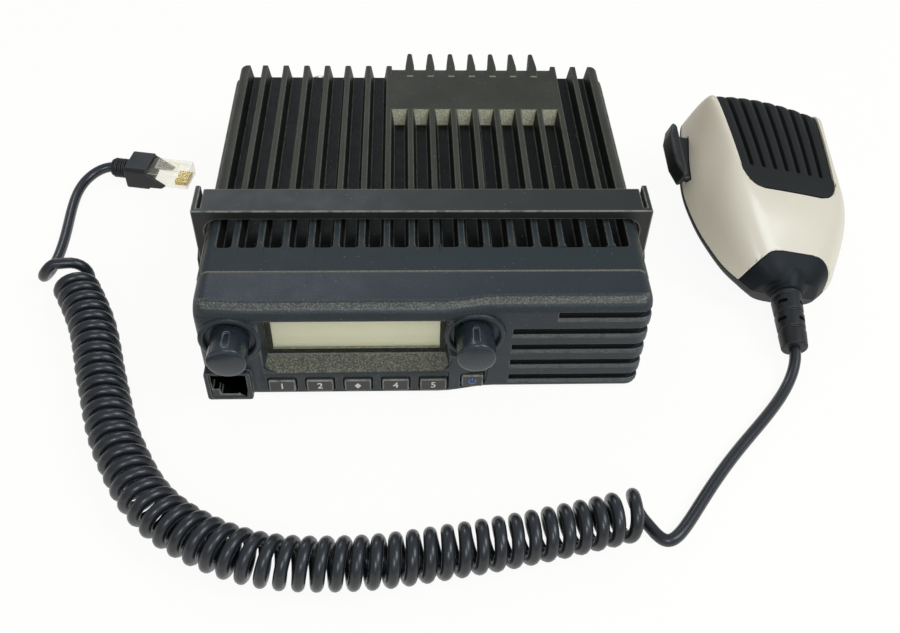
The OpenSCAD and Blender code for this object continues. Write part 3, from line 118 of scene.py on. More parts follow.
class Link:
    """An output socket that adds Math nodes when it is used in an expression."""

    def __init__(self, graph: Graph, socket: Optional[bpy.types.NodeSocket]) -> None:
        """Keep the graph and the socket."""
        self.graph = graph
        self.socket = socket

    def __add__(self, other: Value) -> Link:
        """Add a value."""
        return self.graph.maths("ADD", self, other)

    def __radd__(self, other: Value) -> Link:
        """Be added to a value."""
        return self.graph.maths("ADD", other, self)

    def __sub__(self, other: Value) -> Link:
        """Take away a value."""
        return self.graph.maths("SUBTRACT", self, other)

    def __rsub__(self, other: Value) -> Link:
        """Be taken from a value."""
        return self.graph.maths("SUBTRACT", other, self)

    def __mul__(self, other: Value) -> Link:
        """Multiply by a value."""
        return self.graph.maths("MULTIPLY", self, other)

    def __rmul__(self, other: Value) -> Link:
        """Be a value's factor."""
        return self.graph.maths("MULTIPLY", other, self)


class Graph:
    """A node tree that is filled from Python."""

    def __init__(self, tree: bpy.types.NodeTree) -> None:
        """Keep the tree."""
        self.tree = tree

    def node(self, kind: str, settings: Optional[Dict[str, object]] = None,
             inputs: Optional[Dict[Union[str, int], Value]] = None, out: Union[str, int] = 0) -> Link:
        """Add a node.

        Args:
            kind: The node's type.
            settings: Properties that are set first.
            inputs: Values or links of its sockets, by name or number.
            out: The output that is returned, by name or number.

        Returns:
            The chosen output.
        """
        made = self.tree.nodes.new(kind)
        for key, value in (settings or {}).items():
            setattr(made, key, value)
        for key, value in (inputs or {}).items():
            if isinstance(value, Link):
                self.tree.links.new(value.socket, made.inputs[key])
            else:
                made.inputs[key].default_value = value
        return Link(self, made.outputs[out] if made.outputs else None)

    def maths(self, operation: str, *values: Value) -> Link:
        """Add a Math node and return its result."""
        return self.node("ShaderNodeMath", {"operation": operation}, dict(enumerate(values)))

    def ramp(self, value: Value, low: float, high: float, start: float = 0.0, end: float = 1.0) -> Link:
        """Map a range of a value smoothly to another range.

        Args:
            value: The value.
            low: Where the change starts.
            high: Where the change ends.
            start: Result at low and before it.
            end: Result at high and after it.

        Returns:
            The mapped value.
        """
        return self.node("ShaderNodeMapRange", {"interpolation_type": "SMOOTHSTEP"}, {
            "Value": value, "From Min": low, "From Max": high, "To Min": start, "To Max": end})

    def blend(self, share: Value, first: Value, second: Value) -> Link:
        """Mix two colours by the share of the second."""
        return self.node("ShaderNodeMix", {"data_type": "RGBA"}, {0: share, 6: first, 7: second}, 2)


class Shader(Graph):
    """A material's node tree with the textures that the finishes share."""

    def __init__(self, name: str) -> None:
        """Make an empty material."""
        self.material = bpy.data.materials.new(name)
        self.material.use_nodes = True
        super().__init__(self.material.node_tree)
        self.tree.nodes.clear()

    def place(self) -> Link:
        """Return the place on the piece, in metres."""
        return self.node("ShaderNodeTexCoord", out="Object")

    def place_along(self, axis: str) -> Link:
        """Return the place on the piece along X, Y or Z, in metres."""
        return self.node("ShaderNodeSeparateXYZ", {}, {0: self.place()}, axis)

    def stretched(self, factors: Point) -> Link:
        """Return the place on the piece, scaled along each axis."""
        return self.node("ShaderNodeMapping", {}, {"Vector": self.place(), "Scale": factors})

    def noise(self, size: float, detail: float, place: Optional[Link] = None) -> Link:
        """Add a cloudy pattern.

        Args:
            size: Size of a cloud in millimetres.
            detail: Number of finer layers.
            place: Where it is read, or None for the place on the piece.

        Returns:
            A value round 0.5.
        """
        return self.node("ShaderNodeTexNoise", {}, {
            "Vector": place or self.place(), "Scale": 1 / (size * MM), "Detail": detail})

    def waves(self, axis: str, scale: float) -> Link:
        """Add even bands along an axis."""
        return self.node("ShaderNodeTexWave", {"bands_direction": axis}, {
            "Vector": self.place(), "Scale": scale}, "Fac")

    def dots(self, size: float, share: float) -> Link:
        """Add small scattered dots.

        Args:
            size: Distance from dot to dot in millimetres.
            share: Size of a dot, as a share of the distance.

        Returns:
            1 in a dot and 0 outside.
        """
        far = self.node("ShaderNodeTexVoronoi", {"feature": "F1"}, {
            "Vector": self.place(), "Scale": 1 / (size * MM)}, "Distance")
        return self.ramp(far, share, share * 0.5)

    def layer(self, name: str) -> Link:
        """Return a layer of the mesh, from 0 to 1."""
        return self.node("ShaderNodeAttribute", {"attribute_name": name}, out="Fac")

    def bump(self, height: Link, depth: float) -> Link:
        """Turn a height from 0 to 1, where 1 stands for a depth in millimetres, into a bent normal."""
        return self.node("ShaderNodeBump", {}, {"Height": height, "Distance": depth * MM})

    def principled(self, sockets: Dict[str, Value]) -> Link:
        """Add the main surface shader with the given sockets."""
        return self.node("ShaderNodeBsdfPrincipled", {}, sockets)

    def close(self, surface: Link) -> bpy.types.Material:
        """Connect the surface and return the material."""
        self.node("ShaderNodeOutputMaterial", {}, {"Surface": surface})
        return self.material


class GeometryTree(Graph):
    """A Geometry Nodes tree with named sizes that makes one mesh."""

    def __init__(self, name: str) -> None:
        """Make an empty tree with one output."""
        tree = bpy.data.node_groups.new(name, "GeometryNodeTree")
        super().__init__(tree)
        tree.interface.new_socket("Geometry", in_out="OUTPUT", socket_type="NodeSocketGeometry")
        self.name = name
        self.values: Dict[str, Union[float, int]] = {}

    def size(self, name: str, value: Union[float, int]) -> Link:
        """Add a named input.

        Args:
            name: What the input sets.
            value: Its value on this piece, a whole number for a count.

        Returns:
            The input as a link.
        """
        kind = "NodeSocketInt" if isinstance(value, int) else "NodeSocketFloat"
        item = self.tree.interface.new_socket(name, in_out="INPUT", socket_type=kind)
        self.values[item.identifier] = value
        return self.node("NodeGroupInput", out=name)

    def vector(self, x: Value = 0.0, y: Value = 0.0, z: Value = 0.0) -> Link:
        """Join three numbers into a vector."""
        return self.node("ShaderNodeCombineXYZ", {}, {"X": x, "Y": y, "Z": z})

    def shape(self, piece: Piece) -> Link:
        """Return another object's shape."""
        return self.node("GeometryNodeObjectInfo", {}, {"Object": piece}, "Geometry")

    def make(self, geometry: Link, material: bpy.types.Material) -> Mesh:
        """Close the tree and run it.

        Args:
            geometry: What the tree has built.
            material: The finish of the mesh.

        Returns:
            The result as a plain mesh.
        """
        real = self.node("GeometryNodeRealizeInstances", {}, {"Geometry": geometry})
        painted = self.node("GeometryNodeSetMaterial", {}, {"Geometry": real, "Material": material})
        self.node("NodeGroupOutput", {}, {0: painted})
        with held(bpy.data.meshes.new(self.name)) as holder:
            modifier = holder.modifiers.new(self.name, "NODES")
            modifier.node_group = self.tree
            for identifier, value in self.values.items():
                modifier[identifier] = value
            mesh = evaluated(holder)
            holder.modifiers.remove(modifier)
        return mesh


# Finishes


class Finish(ABC):
    """A surface that becomes one material."""

    name: str

    @abstractmethod
    def paint(self, shader: Shader) -> Link:
        """Fill the shader and return its surface."""

    def material(self) -> bpy.types.Material:
        """Return the material, made at its first use."""
        label = self.name + "_finish"
        found = bpy.data.materials.get(label)
        if found is not None:
            return found
        shader = Shader(label)
        return shader.close(self.paint(shader))


CLOUD_SIZE = 18.0
PATCH_SIZE = 0.6
DUST_SIZE = 9.0
DOT_SHARE = 0.11
# Size of the patches of the painted edge highlight.
HIGHLIGHT_PATCH_SIZE = 3.0
SMEAR_SIZE = 6.0
# How far the painted reflection on the deck fades, in millimetres either side of its end.
SHEEN_FADE = 6.0


@dataclass(frozen=True)
class Skin(Finish):
    """A painted or moulded surface with grain, cloudy colour, marks (painted shade, painted light and
    dust), dust and edges lightened by a painted highlight with wear.
    """

    name: str
    colour: Colour
    roughness: float = 0.5
    grain: float = 0.5
    depth: float = 0.02
    cloud: float = 0.12
    # Colour of the bevelled edges: a painted edge highlight, in patches like wear.
    edge: Optional[Colour] = None
    edge_share: float = 0.5
    dust: Optional[Colour] = None
    dust_share: float = 0.4
    dust_gap: float = 2.5
    coat: float = 0.0
    metallic: float = 0.0
    speck: float = 0.15
    smudge: float = 0.17
    specular: float = 0.5
    # Bluish tint of a painted reflection on the deck layer, and the Y in millimetres where it fades out.
    front: Optional[Tuple[Colour, float]] = None
    marks: Tuple[Tuple[str, Colour, float, float], ...] = ()

    def paint(self, shader: Shader) -> Link:
        """Fill the shader and return its surface."""
        grain = shader.noise(self.grain, 3.0)
        cloud = shader.ramp(shader.noise(CLOUD_SIZE, 4.0), 0.3, 0.7)
        dark, light = scaled(self.colour, 1 - self.cloud), scaled(self.colour, 1 + self.cloud)
        colour = shader.blend(cloud, dark, light)
        specks = shader.ramp(grain, 0.42, 0.72, 0.0, self.speck)
        colour = shader.blend(specks, colour, scaled(self.colour, 2.2))
        # Painted reflection: the deck layer takes a bluish tint towards the front.
        if self.front is not None:
            tint, end = self.front
            ahead = shader.ramp(shader.place_along("Y"), (end + SHEEN_FADE) * MM, (end - SHEEN_FADE) * MM)
            colour = shader.blend(shader.layer(DECK_SHEEN_LAYER) * ahead, colour, tint)
        # Marks in their own colours: painted shade, painted light and highlights, and dust.
        for name, tint, share, patchy in self.marks:
            patch = shader.ramp(shader.noise(PATCH_SIZE, 2.0), 0.42, 0.66, 1 - patchy, 1.0)
            colour = shader.blend(shader.layer(name) * patch * share, colour, tint)
        if self.dust is not None:
            patch = shader.ramp(shader.noise(DUST_SIZE, 3.0), 0.42, 0.62)
            dots = shader.dots(self.dust_gap, DOT_SHARE)
            colour = shader.blend(dots * patch * self.dust_share, colour, self.dust)
        # Painted edge highlight on the bevelled faces, in patches like wear.
        if self.edge is not None:
            rubbed = shader.ramp(shader.noise(HIGHLIGHT_PATCH_SIZE, 4.0), 0.25, 0.6, 0.25, 1.0)
            colour = shader.blend(shader.layer(EDGE_HIGHLIGHT_LAYER) * rubbed * self.edge_share, colour, self.edge)
        smear = shader.noise(SMEAR_SIZE, 3.0)
        rough = (grain - 0.5) * self.smudge + (smear - 0.5) * self.smudge + self.roughness
        return shader.principled({
            "Base Color": colour, "Roughness": rough, "Metallic": self.metallic,
            "Coat Weight": self.coat, "Coat Roughness": 0.12, "Specular IOR Level": self.specular,
            "Normal": shader.bump(grain, self.depth)})


@dataclass(frozen=True)
class Metal(Finish):
    """Bare or plated metal with drawn lines and fingerprints."""

    name: str
    colour: Colour
    roughness: float = 0.3
    lines: float = 0.15

    def paint(self, shader: Shader) -> Link:
        """Fill the shader and return its surface."""
        drawn = shader.noise(0.25, 2.0, shader.stretched((1.0, 0.08, 1.0)))
        smear = shader.noise(4.0, 4.0)
        colour = shader.blend(shader.ramp(smear, 0.3, 0.75), scaled(self.colour, 0.8), self.colour)
        rough = (drawn - 0.5) * self.lines + (smear - 0.5) * 0.2 + self.roughness
        return shader.principled({
            "Base Color": colour, "Roughness": rough, "Metallic": 1.0, "Normal": shader.bump(drawn, 0.006)})


@dataclass(frozen=True)
class Clear(Finish):
    """Clear plastic: seen through face on, glossy at a slant."""

    name: str
    colour: Colour
    veil: float
    shine: float

    def paint(self, shader: Shader) -> Link:
        """Fill the shader and return its surface."""
        flow = shader.noise(2.5, 3.0)
        gloss = shader.principled({
            "Base Color": self.colour, "Roughness": (flow - 0.5) * 0.08 + 0.08, "IOR": 1.5,
            "Normal": shader.bump(flow, 0.02)})
        through = shader.node("ShaderNodeBsdfTransparent", {}, {"Color": self.colour})
        slant = shader.node("ShaderNodeLayerWeight", {}, {"Blend": 0.35}, "Facing")
        # The bevelled edges show more of the white gloss, as a painted edge highlight.
        share = shader.ramp(slant, 0.1, 1.0, self.veil, self.shine) + shader.layer(EDGE_HIGHLIGHT_LAYER) * 0.35
        return shader.node("ShaderNodeMixShader", {}, {0: share, 1: through, 2: gloss})


@dataclass(frozen=True)
class DisplayGlass(Finish):
    """Unlit liquid crystal display: a pale ground with a lighter band, a line and fine pixel rows."""

    name: str
    colour: Colour
    band: Colour
    line: Colour
    band_z: float
    line_z: float

    def paint(self, shader: Shader) -> Link:
        """Fill the shader and return its surface."""
        height = shader.place_along("Z")
        up = shader.ramp(height, (self.band_z - 1.5) * MM, (self.band_z + 1.5) * MM)
        off_line = shader.maths("ABSOLUTE", height - self.line_z * MM)
        line = shader.ramp(off_line, 0.32 * MM, 0.16 * MM)
        rows = shader.waves("Z", 400.0)
        cloud = shader.noise(20.0, 3.0)
        colour = shader.blend(up, self.colour, self.band)
        colour = shader.blend(shader.ramp(cloud, 0.3, 0.7, 0.0, 0.2), colour, scaled(self.colour, 0.8))
        colour = shader.blend(rows * 0.05, colour, scaled(self.colour, 0.6))
        colour = shader.blend(line * 0.6, colour, self.line)
        return shader.principled({
            "Base Color": colour, "Roughness": (cloud - 0.5) * 0.1 + 0.32, "Coat Weight": 0.3})


@dataclass(frozen=True)
class Weave(Finish):
    """Woven loudspeaker cloth."""

    name: str
    colour: Colour
    thread: float = 0.45

    def paint(self, shader: Shader) -> Link:
        """Fill the shader and return its surface."""
        scale = math.pi / (self.thread * MM) / 10
        weave = shader.waves("X", scale) * shader.waves("Z", scale)
        fluff = shader.noise(0.2, 2.0)
        share = weave * 0.5 + fluff * 0.3
        colour = shader.blend(share, scaled(self.colour, 0.4), scaled(self.colour, 1.8))
        return shader.principled({
            "Base Color": colour, "Roughness": fluff * 0.2 + 0.75, "Normal": shader.bump(weave, 0.08)})


@dataclass(frozen=True)
class Board(Finish):
    """Circuit board with solder resist over copper tracks."""

    name: str
    colour: Colour
    solder: Colour

    def paint(self, shader: Shader) -> Link:
        """Fill the shader and return its surface."""
        tracks = shader.node("ShaderNodeTexBrick", {"offset": 0.35}, {
            "Vector": shader.place(), "Scale": 1.0, "Brick Width": 6.0 * MM, "Row Height": 1.6 * MM,
            "Mortar Size": 0.28 * MM, "Color1": scaled(self.colour, 0.9), "Color2": self.colour,
            "Mortar": scaled(self.colour, 1.9)}, "Color")
        colour = shader.blend(shader.dots(3.2, 0.2) * 0.9, tracks, self.solder)
        grain = shader.noise(0.6, 2.0)
        return shader.principled({
            "Base Color": colour, "Roughness": grain * 0.2 + 0.3, "Normal": shader.bump(grain, 0.01)})


DUST = srgb(176, 174, 162)


class Finishes(Enum):
    """The finishes of the part. Those of the record's slots bear the slots' names."""

    # The edge colours below paint a highlight on bevelled edges, in patches like wear.
    cast_body = Skin(
        "cast_body", srgb(56, 57, 53), 0.5, 0.8, 0.08, 0.12, srgb(100, 101, 96), 0.5, DUST, 0.4, 2.2,
        # Painted reflection: a bluish tint on the deck and fin tops towards the front.
        specular=0.13, front=(srgb(47, 54, 60), -22.0),
        # Marks: near-black painted shade in the valleys; light grey for dust along the joint and painted
        # sheen on the front slopes and fin pads.
        marks=(("deep", srgb(5, 6, 6), 1.0, 0.15), ("dusty", srgb(180, 178, 158), 1.0, 0.45)))
    dark_sheet = Skin(
        "dark_sheet", srgb(36, 37, 37), 0.45, 0.5, 0.03, 0.1, srgb(130, 132, 130), 0.8, DUST, 0.2, 3.0,
        specular=0.4)
    black_steel = Skin(
        "black_steel", srgb(26, 26, 27), 0.45, 0.3, 0.01, 0.1, srgb(60, 60, 60), 0.4, metallic=0.2)
    circuit_board = Board("circuit_board", srgb(31, 90, 58), srgb(190, 184, 160))
    bright_steel = Metal("bright_steel", srgb(190, 191, 188), 0.28)
    tin_can = Metal("tin_can", srgb(205, 206, 202), 0.35, 0.25)
    module_black = Skin("module_black", srgb(40, 41, 42), 0.6, 0.4, 0.02)
    nickel = Metal("nickel", srgb(198, 198, 194), 0.22)
    white_insulator = Skin("white_insulator", srgb(236, 233, 224), 0.35, 0.6, 0.01, 0.04, speck=0.02)
    gold_contact = Metal("gold_contact", srgb(228, 202, 132), 0.25)
    black_rubber = Skin(
        "black_rubber", srgb(24, 25, 27), 0.45, 0.3, 0.02, 0.12, srgb(70, 72, 74), 0.4, specular=0.4)
    panel_plastic = Skin(
        "panel_plastic", srgb(32, 40, 47), 0.42, 0.7, 0.1, 0.12, srgb(110, 112, 110), 0.5, DUST, 0.25, 2.6,
        speck=0.3, specular=0.4,
        # Marks: painted light on the ledge below the window, a painted highlight on the rounded upper edge
        # and the slot ledges, dust along the joint.
        marks=(("ledge", srgb(126, 125, 110), 0.9, 0.75), ("rubbed", srgb(134, 134, 126), 0.65, 0.75),
               ("dusty", srgb(150, 150, 140), 0.8, 0.45)))
    clear_window = Clear("clear_window", srgb(252, 252, 248), 0.0, 0.14)
    black_trim = Skin(
        "black_trim", srgb(44, 44, 42), 0.6, 0.3, 0.02, specular=0.2,
        marks=(("sill", srgb(168, 167, 150), 0.9, 0.45),))
    display_glass = DisplayGlass(
        "display_glass", srgb(228, 228, 219), srgb(236, 236, 229), srgb(222, 222, 205), 26.0, 22.4)
    diffuser = Skin("diffuser", srgb(218, 218, 212), 0.6, 0.6, 0.01, 0.03, speck=0.02)
    knob_plastic = Skin(
        "knob_plastic", srgb(37, 44, 53), 0.27, 0.3, 0.015, 0.1, srgb(150, 156, 164), 0.7, speck=0.06)
    control_metal = Metal("control_metal", srgb(132, 138, 142), 0.4)
    key_rubber = Skin("key_rubber", srgb(47, 49, 50), 0.5, 0.5, 0.04, 0.08, srgb(146, 147, 143), 0.7)
    mark_white = Skin("mark_white", srgb(206, 206, 200), 0.5, 0.4, 0.005, 0.04, speck=0.03)
    mark_blue = Skin("mark_blue", srgb(70, 116, 196), 0.5, 0.4, 0.005, 0.04, speck=0.03)
    socket_plastic = Skin(
        "socket_plastic", srgb(28, 29, 32), 0.35, 0.4, 0.01, 0.1, srgb(150, 150, 146), 0.8,
        # Mark: near-black painted shade inside the socket.
        marks=(("deep", srgb(4, 4, 4), 1.0, 0.1),))
    grille_cloth = Weave("grille_cloth", srgb(16, 16, 16))
    speaker_metal = Metal("speaker_metal", srgb(120, 124, 126), 0.42)
    paper_cone = Skin("paper_cone", srgb(42, 37, 34), 0.85, 0.5, 0.04, 0.2)
    ferrite = Skin("ferrite", srgb(84, 86, 88), 0.7, 0.4, 0.04)
    beige_shell = Skin(
        "beige_shell", srgb(210, 204, 194), 0.34, 0.8, 0.0004, 0.012, srgb(236, 234, 226), 0.6, coat=0.2,
        speck=0.0, smudge=0.03)
    dark_shell = Skin("dark_shell", srgb(34, 35, 36), 0.5, 0.35, 0.03, 0.1, srgb(84, 86, 86), 0.4)
    grille_plastic = Skin(
        "grille_plastic", srgb(22, 23, 23), 0.55, 0.5, 0.05, 0.1, srgb(84, 88, 88), 0.4, specular=0.25)
    cover_plastic = Skin(
        "cover_plastic", srgb(10, 17, 22), 0.5, 0.4, 0.01, 0.1, srgb(70, 78, 86), 0.35, speck=0.06,
        specular=0.2)
    capsule_metal = Metal("capsule_metal", srgb(160, 160, 162), 0.35)
    cord_jacket = Skin("cord_jacket", srgb(24, 27, 33), 0.36, 0.8, 0.012, 0.12, coat=0.18, speck=0.05)
    clear_plug = Clear("clear_plug", srgb(252, 251, 246), 0.06, 0.5)

    @property
    def surface(self) -> bpy.types.Material:
        """The finish's material."""
        return self.value.material()

    def cover(self, mesh: Mesh) -> None:
        """Give a mesh this finish alone."""
        mesh.materials.clear()
        mesh.materials.append(self.surface)


# Mesh tools


class Join(Enum):
    """Ways to combine two closed meshes."""

    CUT = "DIFFERENCE"
    FUSE = "UNION"
    SHARE = "INTERSECT"


def rotation(degrees: float, axis: str, size: int = 4) -> Matrix:
    """Return a turn about an axis."""
    return Matrix.Rotation(math.radians(degrees), size, axis)


def shift(x: float, y: float, z: float) -> Matrix:
    """Return a move in millimetres."""
    return Matrix.Translation(Vector((x, y, z)) * MM)


def rectangle(left: float, right: float, low: float, high: float) -> List[Flat]:
    """Return the corners of a rectangle."""
    return [(left, low), (right, low), (right, high), (left, high)]


def circle(sides: int) -> List[Flat]:
    """Return the points of a circle with a radius of 1."""
    turns = [2 * math.pi * k / sides for k in range(sides)]
    return [(math.cos(t), math.sin(t)) for t in turns]


def catmull(points: Sequence[Sequence[float]], steps: int) -> List[Tuple[float, ...]]:
    """Draw a smooth curve through points.

    Args:
        points: Points of any number of coordinates.
        steps: Pieces between two points.

    Returns:
        The curve's points.
    """
    first = [2 * a - b for a, b in zip(points[0], points[1])]
    last = [2 * a - b for a, b in zip(points[-1], points[-2])]
    knots = [first, *points, last]
    curve: List[Tuple[float, ...]] = []
    for i in range(len(points) - 1):
        before, start, end, after = knots[i:i + 4]
        for k in range(steps):
            u = k / steps
            curve.append(tuple(
                b + 0.5 * u * ((c - a) + u * ((2 * a - 5 * b + 4 * c - d) + u * (3 * (b - c) + d - a)))
                for a, b, c, d in zip(before, start, end, after)))
    curve.append(tuple(points[-1]))
    return curve


def bezier(ends: Sequence[Vector], u: float) -> Vector:
    """Return a point of the cubic curve that four points steer."""
    v = 1 - u
    return ends[0] * v ** 3 + ends[1] * 3 * u * v ** 2 + ends[2] * 3 * u * u * v + ends[3] * u ** 3


def placed(name: str, data: bpy.types.ID) -> Piece:
    """Make an object and put it in the scene."""
    piece = bpy.data.objects.new(name, data)
    bpy.context.scene.collection.objects.link(piece)
    return piece


@contextmanager
def held(data: bpy.types.ID) -> Iterator[Piece]:
    """Keep a mesh or a text in the scene for the time that a tool needs it."""
    holder = placed(data.name, data)
    yield holder
    bpy.data.objects.remove(holder)


@contextmanager
def editing(mesh: Mesh) -> Iterator[bmesh.types.BMesh]:
    """Open a mesh for changes and write them back."""
    work = bmesh.new()
    work.from_mesh(mesh)
    yield work
    work.to_mesh(mesh)
    work.free()


def evaluated(piece: Piece) -> Mesh:
    """Return a plain mesh of an object with its modifiers applied."""
    graph = bpy.context.evaluated_depsgraph_get()
    return bpy.data.meshes.new_from_object(
        piece.evaluated_get(graph), preserve_all_data_layers=True, depsgraph=graph)


def welded(mesh: Mesh) -> Mesh:
    """Merge the points of a mesh that lie on one spot."""
    with editing(mesh) as work:
        bmesh.ops.remove_doubles(work, verts=work.verts, dist=WELD)
    return mesh


def mesh_from(name: str, points: Sequence[Sequence[float]], faces: Sequence[Sequence[int]]) -> Mesh:
    """Make a mesh whose faces point outwards.

    Args:
        name: The mesh's name.
        points: Vertices in millimetres.
        faces: Vertex numbers of each face.

    Returns:
        The mesh in metres.
    """
    mesh = bpy.data.meshes.new(name)
    mesh.from_pydata([tuple(c * MM for c in p) for p in points], [], [tuple(f) for f in faces])
    with editing(mesh) as work:
        bmesh.ops.recalc_face_normals(work, faces=work.faces)
    return mesh


def skin(name: str, rings: Sequence[Sequence[Sequence[float]]]) -> Mesh:
    """Cover rings of points with faces and close both ends.

    Args:
        name: The mesh's name.
        rings: Rings of equally many points, in millimetres.

    Returns:
        The closed mesh.
    """
    sides = len(rings[0])
    faces: List[Tuple[int, ...]] = []
    for i in range(len(rings) - 1):
        for k in range(sides):
            a = i * sides + k
            b = i * sides + (k + 1) % sides
            faces.append((a, b, b + sides, a + sides))
    faces.append(tuple(range(sides - 1, -1, -1)))
    faces.append(tuple((len(rings) - 1) * sides + k for k in range(sides)))
    return mesh_from(name, [p for ring in rings for p in ring], faces)


def lathe(name: str, profile: Sequence[Flat], sides: int = 64) -> Mesh:
    """Turn a profile about the Z axis.

    Args:
        name: The mesh's name.
        profile: Radius and height of each ring, from end to end.
        sides: Points of a ring.

    Returns:
        The closed mesh.
    """
    mesh = skin(name, [[(r * c, r * s, z) for c, s in circle(sides)] for r, z in profile])
    with editing(mesh) as work:
        bmesh.ops.remove_doubles(work, verts=work.verts, dist=WELD / 2)
        bmesh.ops.recalc_face_normals(work, faces=work.faces)
    return mesh


def prism(name: str, outline: Sequence[Flat], low: float, high: float) -> Mesh:
    """Draw an outline in X and Y out along Z, from a lower to a higher face."""
    return skin(name, [[(x, y, z) for x, y in outline] for z in (low, high)])


def upright(name: str, outline: Sequence[Flat], front: float, back: float) -> Mesh:
    """Draw an outline in X and Z out along Y, from a front to a back face."""
    mesh = prism(name, outline, -back, -front)
    mesh.transform(rotation(90, "X"))
    return mesh


def rounded(corners: Sequence[Flat], radii: Sequence[float], steps: int = 8) -> List[Flat]:
    """Round the corners of an outline.

    Args:
        corners: Corners in order.
        radii: How far each corner's curve reaches along its sides.
        steps: Pieces of a curve.

    Returns:
        The rounded outline.
    """
    count = len(corners)
    outline: List[Flat] = []
    for i in range(count):
        here = Vector(corners[i])
        before = Vector(corners[i - 1]) - here
        after = Vector(corners[(i + 1) % count]) - here
        start = here + before.normalized() * min(radii[i], before.length / 2)
        end = here + after.normalized() * min(radii[i], after.length / 2)
        for k in range(steps + 1):
            u = k / steps
            spot = start * (1 - u) ** 2 + here * 2 * u * (1 - u) + end * u ** 2
            outline.append((spot.x, spot.y))
    return outline


def combine(mesh: Mesh, other: Mesh, join: Join) -> Mesh:
    """Return two closed meshes combined, with the second as the tool."""
    with held(mesh) as body, held(other) as tool:
        modifier = body.modifiers.new("cut", "BOOLEAN")
        modifier.operation = join.value
        modifier.object = tool
        modifier.solver = "EXACT"
        return evaluated(body)


def soften(mesh: Mesh, width: float, angle: float = BEVEL_ANGLE, segments: int = 2) -> Mesh:
    """Round the sharp edges of a mesh and mark the rounded faces.

    Args:
        mesh: The mesh, which is kept as it is.
        width: How far a rounding reaches, in millimetres.
        angle: Least angle of an edge that is rounded, in degrees.
        segments: Faces across a rounding.

    Returns:
        A softened copy.
    """
    result = mesh.copy()
    with editing(result) as work:
        bmesh.ops.remove_doubles(work, verts=work.verts, dist=WELD)
        bmesh.ops.dissolve_limit(
            work, angle_limit=math.radians(FLAT_ANGLE), verts=work.verts, edges=work.edges)
        layer = work.faces.layers.float.new(EDGE_HIGHLIGHT_LAYER)
        sharp = [e for e in work.edges if e.is_manifold and e.calc_face_angle(0.0) > math.radians(angle)]
        made = bmesh.ops.bevel(work, geom=sharp, offset=width * MM, offset_type="OFFSET", segments=segments,
                               profile=0.5, affect="EDGES", clamp_overlap=False, loop_slide=True)
        for face in made["faces"]:
            face[layer] = 1.0
    return shaded(result)


def smoothed(mesh: Mesh, sharp: float) -> Mesh:
    """Shade a mesh smoothly, apart from edges sharper than an angle in degrees."""
    mesh.shade_smooth()
    mesh.set_sharp_from_angle(angle=math.radians(sharp))
    return mesh


def shaded(mesh: Mesh, sharp: float = SHARP_ANGLE) -> Mesh:
    """Shade a mesh smoothly, with large faces kept flat and edges sharper than an angle kept sharp."""
    with held(smoothed(mesh, sharp)) as holder:
        modifier = holder.modifiers.new("normals", "WEIGHTED_NORMAL")
        modifier.keep_sharp = True
        return evaluated(holder)


def tube(name: str, line: Sequence[Point], radius: float, sides: int) -> Mesh:
    """Make a round tube along a line.

    Args:
        name: The mesh's name.
        line: Points of the centre line in millimetres.
        radius: Radius in millimetres.
        sides: Points of a ring.

    Returns:
        The closed, smoothly shaded mesh.
    """
    spots = [Vector(p) for p in line]
    rings: List[List[Vector]] = []
    side = Vector((0.31, 0.17, 0.93))
    for i, spot in enumerate(spots):
        ahead = (spots[min(i + 1, len(spots) - 1)] - spots[max(i - 1, 0)]).normalized()
        side = (side - ahead * side.dot(ahead)).normalized()
        other = ahead.cross(side)
        rings.append([spot + (side * c + other * s) * radius for c, s in circle(sides)])
    return smoothed(skin(name, rings), TUBE_ANGLE)


def merged(meshes: Iterable[Mesh], name: str) -> Mesh:
    """Join meshes into one."""
    result = bpy.data.meshes.new(name)
    with editing(result) as work:
        for mesh in meshes:
            work.from_mesh(mesh)
    return result


def melted(mesh: Mesh, grid: float, rounds: int) -> Mesh:
    """Fuse a mesh into one skin and soften its creases.

    Args:
        mesh: The mesh.
        grid: Size of the new faces in millimetres.
        rounds: How often the skin is softened.

    Returns:
        The smooth mesh.
    """
    with held(mesh) as holder:
        remesh = holder.modifiers.new("fuse", "REMESH")
        remesh.mode = "VOXEL"
        remesh.voxel_size = grid * MM
        smooth = holder.modifiers.new("smooth", "SMOOTH")
        smooth.factor = 0.5
        smooth.iterations = rounds
        result = evaluated(holder)
    result.shade_smooth()
    return result


def lettering(name: str, words: str, size: float, half_depth: float, weight: float) -> Mesh:
    """Return thin raised letters on the XY plane.

    Args:
        name: The mesh's name.
        words: What is written.
        size: Height of the letters in millimetres.
        half_depth: Half their depth in millimetres.
        weight: How much bolder they are, in millimetres.

    Returns:
        The letters as a mesh.
    """
    data = bpy.data.curves.new(name, "FONT")
    data.body = words
    data.size = size * MM
    data.extrude = half_depth * MM
    data.offset = weight * MM
    data.align_x = "CENTER"
    data.align_y = "CENTER"
    with held(data) as holder:
        return welded(evaluated(holder))


def mark(mesh: Mesh, layer: str, share: Callable[[Vector, Vector], float]) -> None:
    """Write a face layer.

    Args:
        mesh: The mesh.
        layer: The layer's name.
        share: Gives a face's value from its middle in millimetres and its normal.
    """
    values = mesh.attributes.new(layer, "FLOAT", "FACE").data
    for face in mesh.polygons:
        values[face.index].value = share(face.center / MM, face.normal)


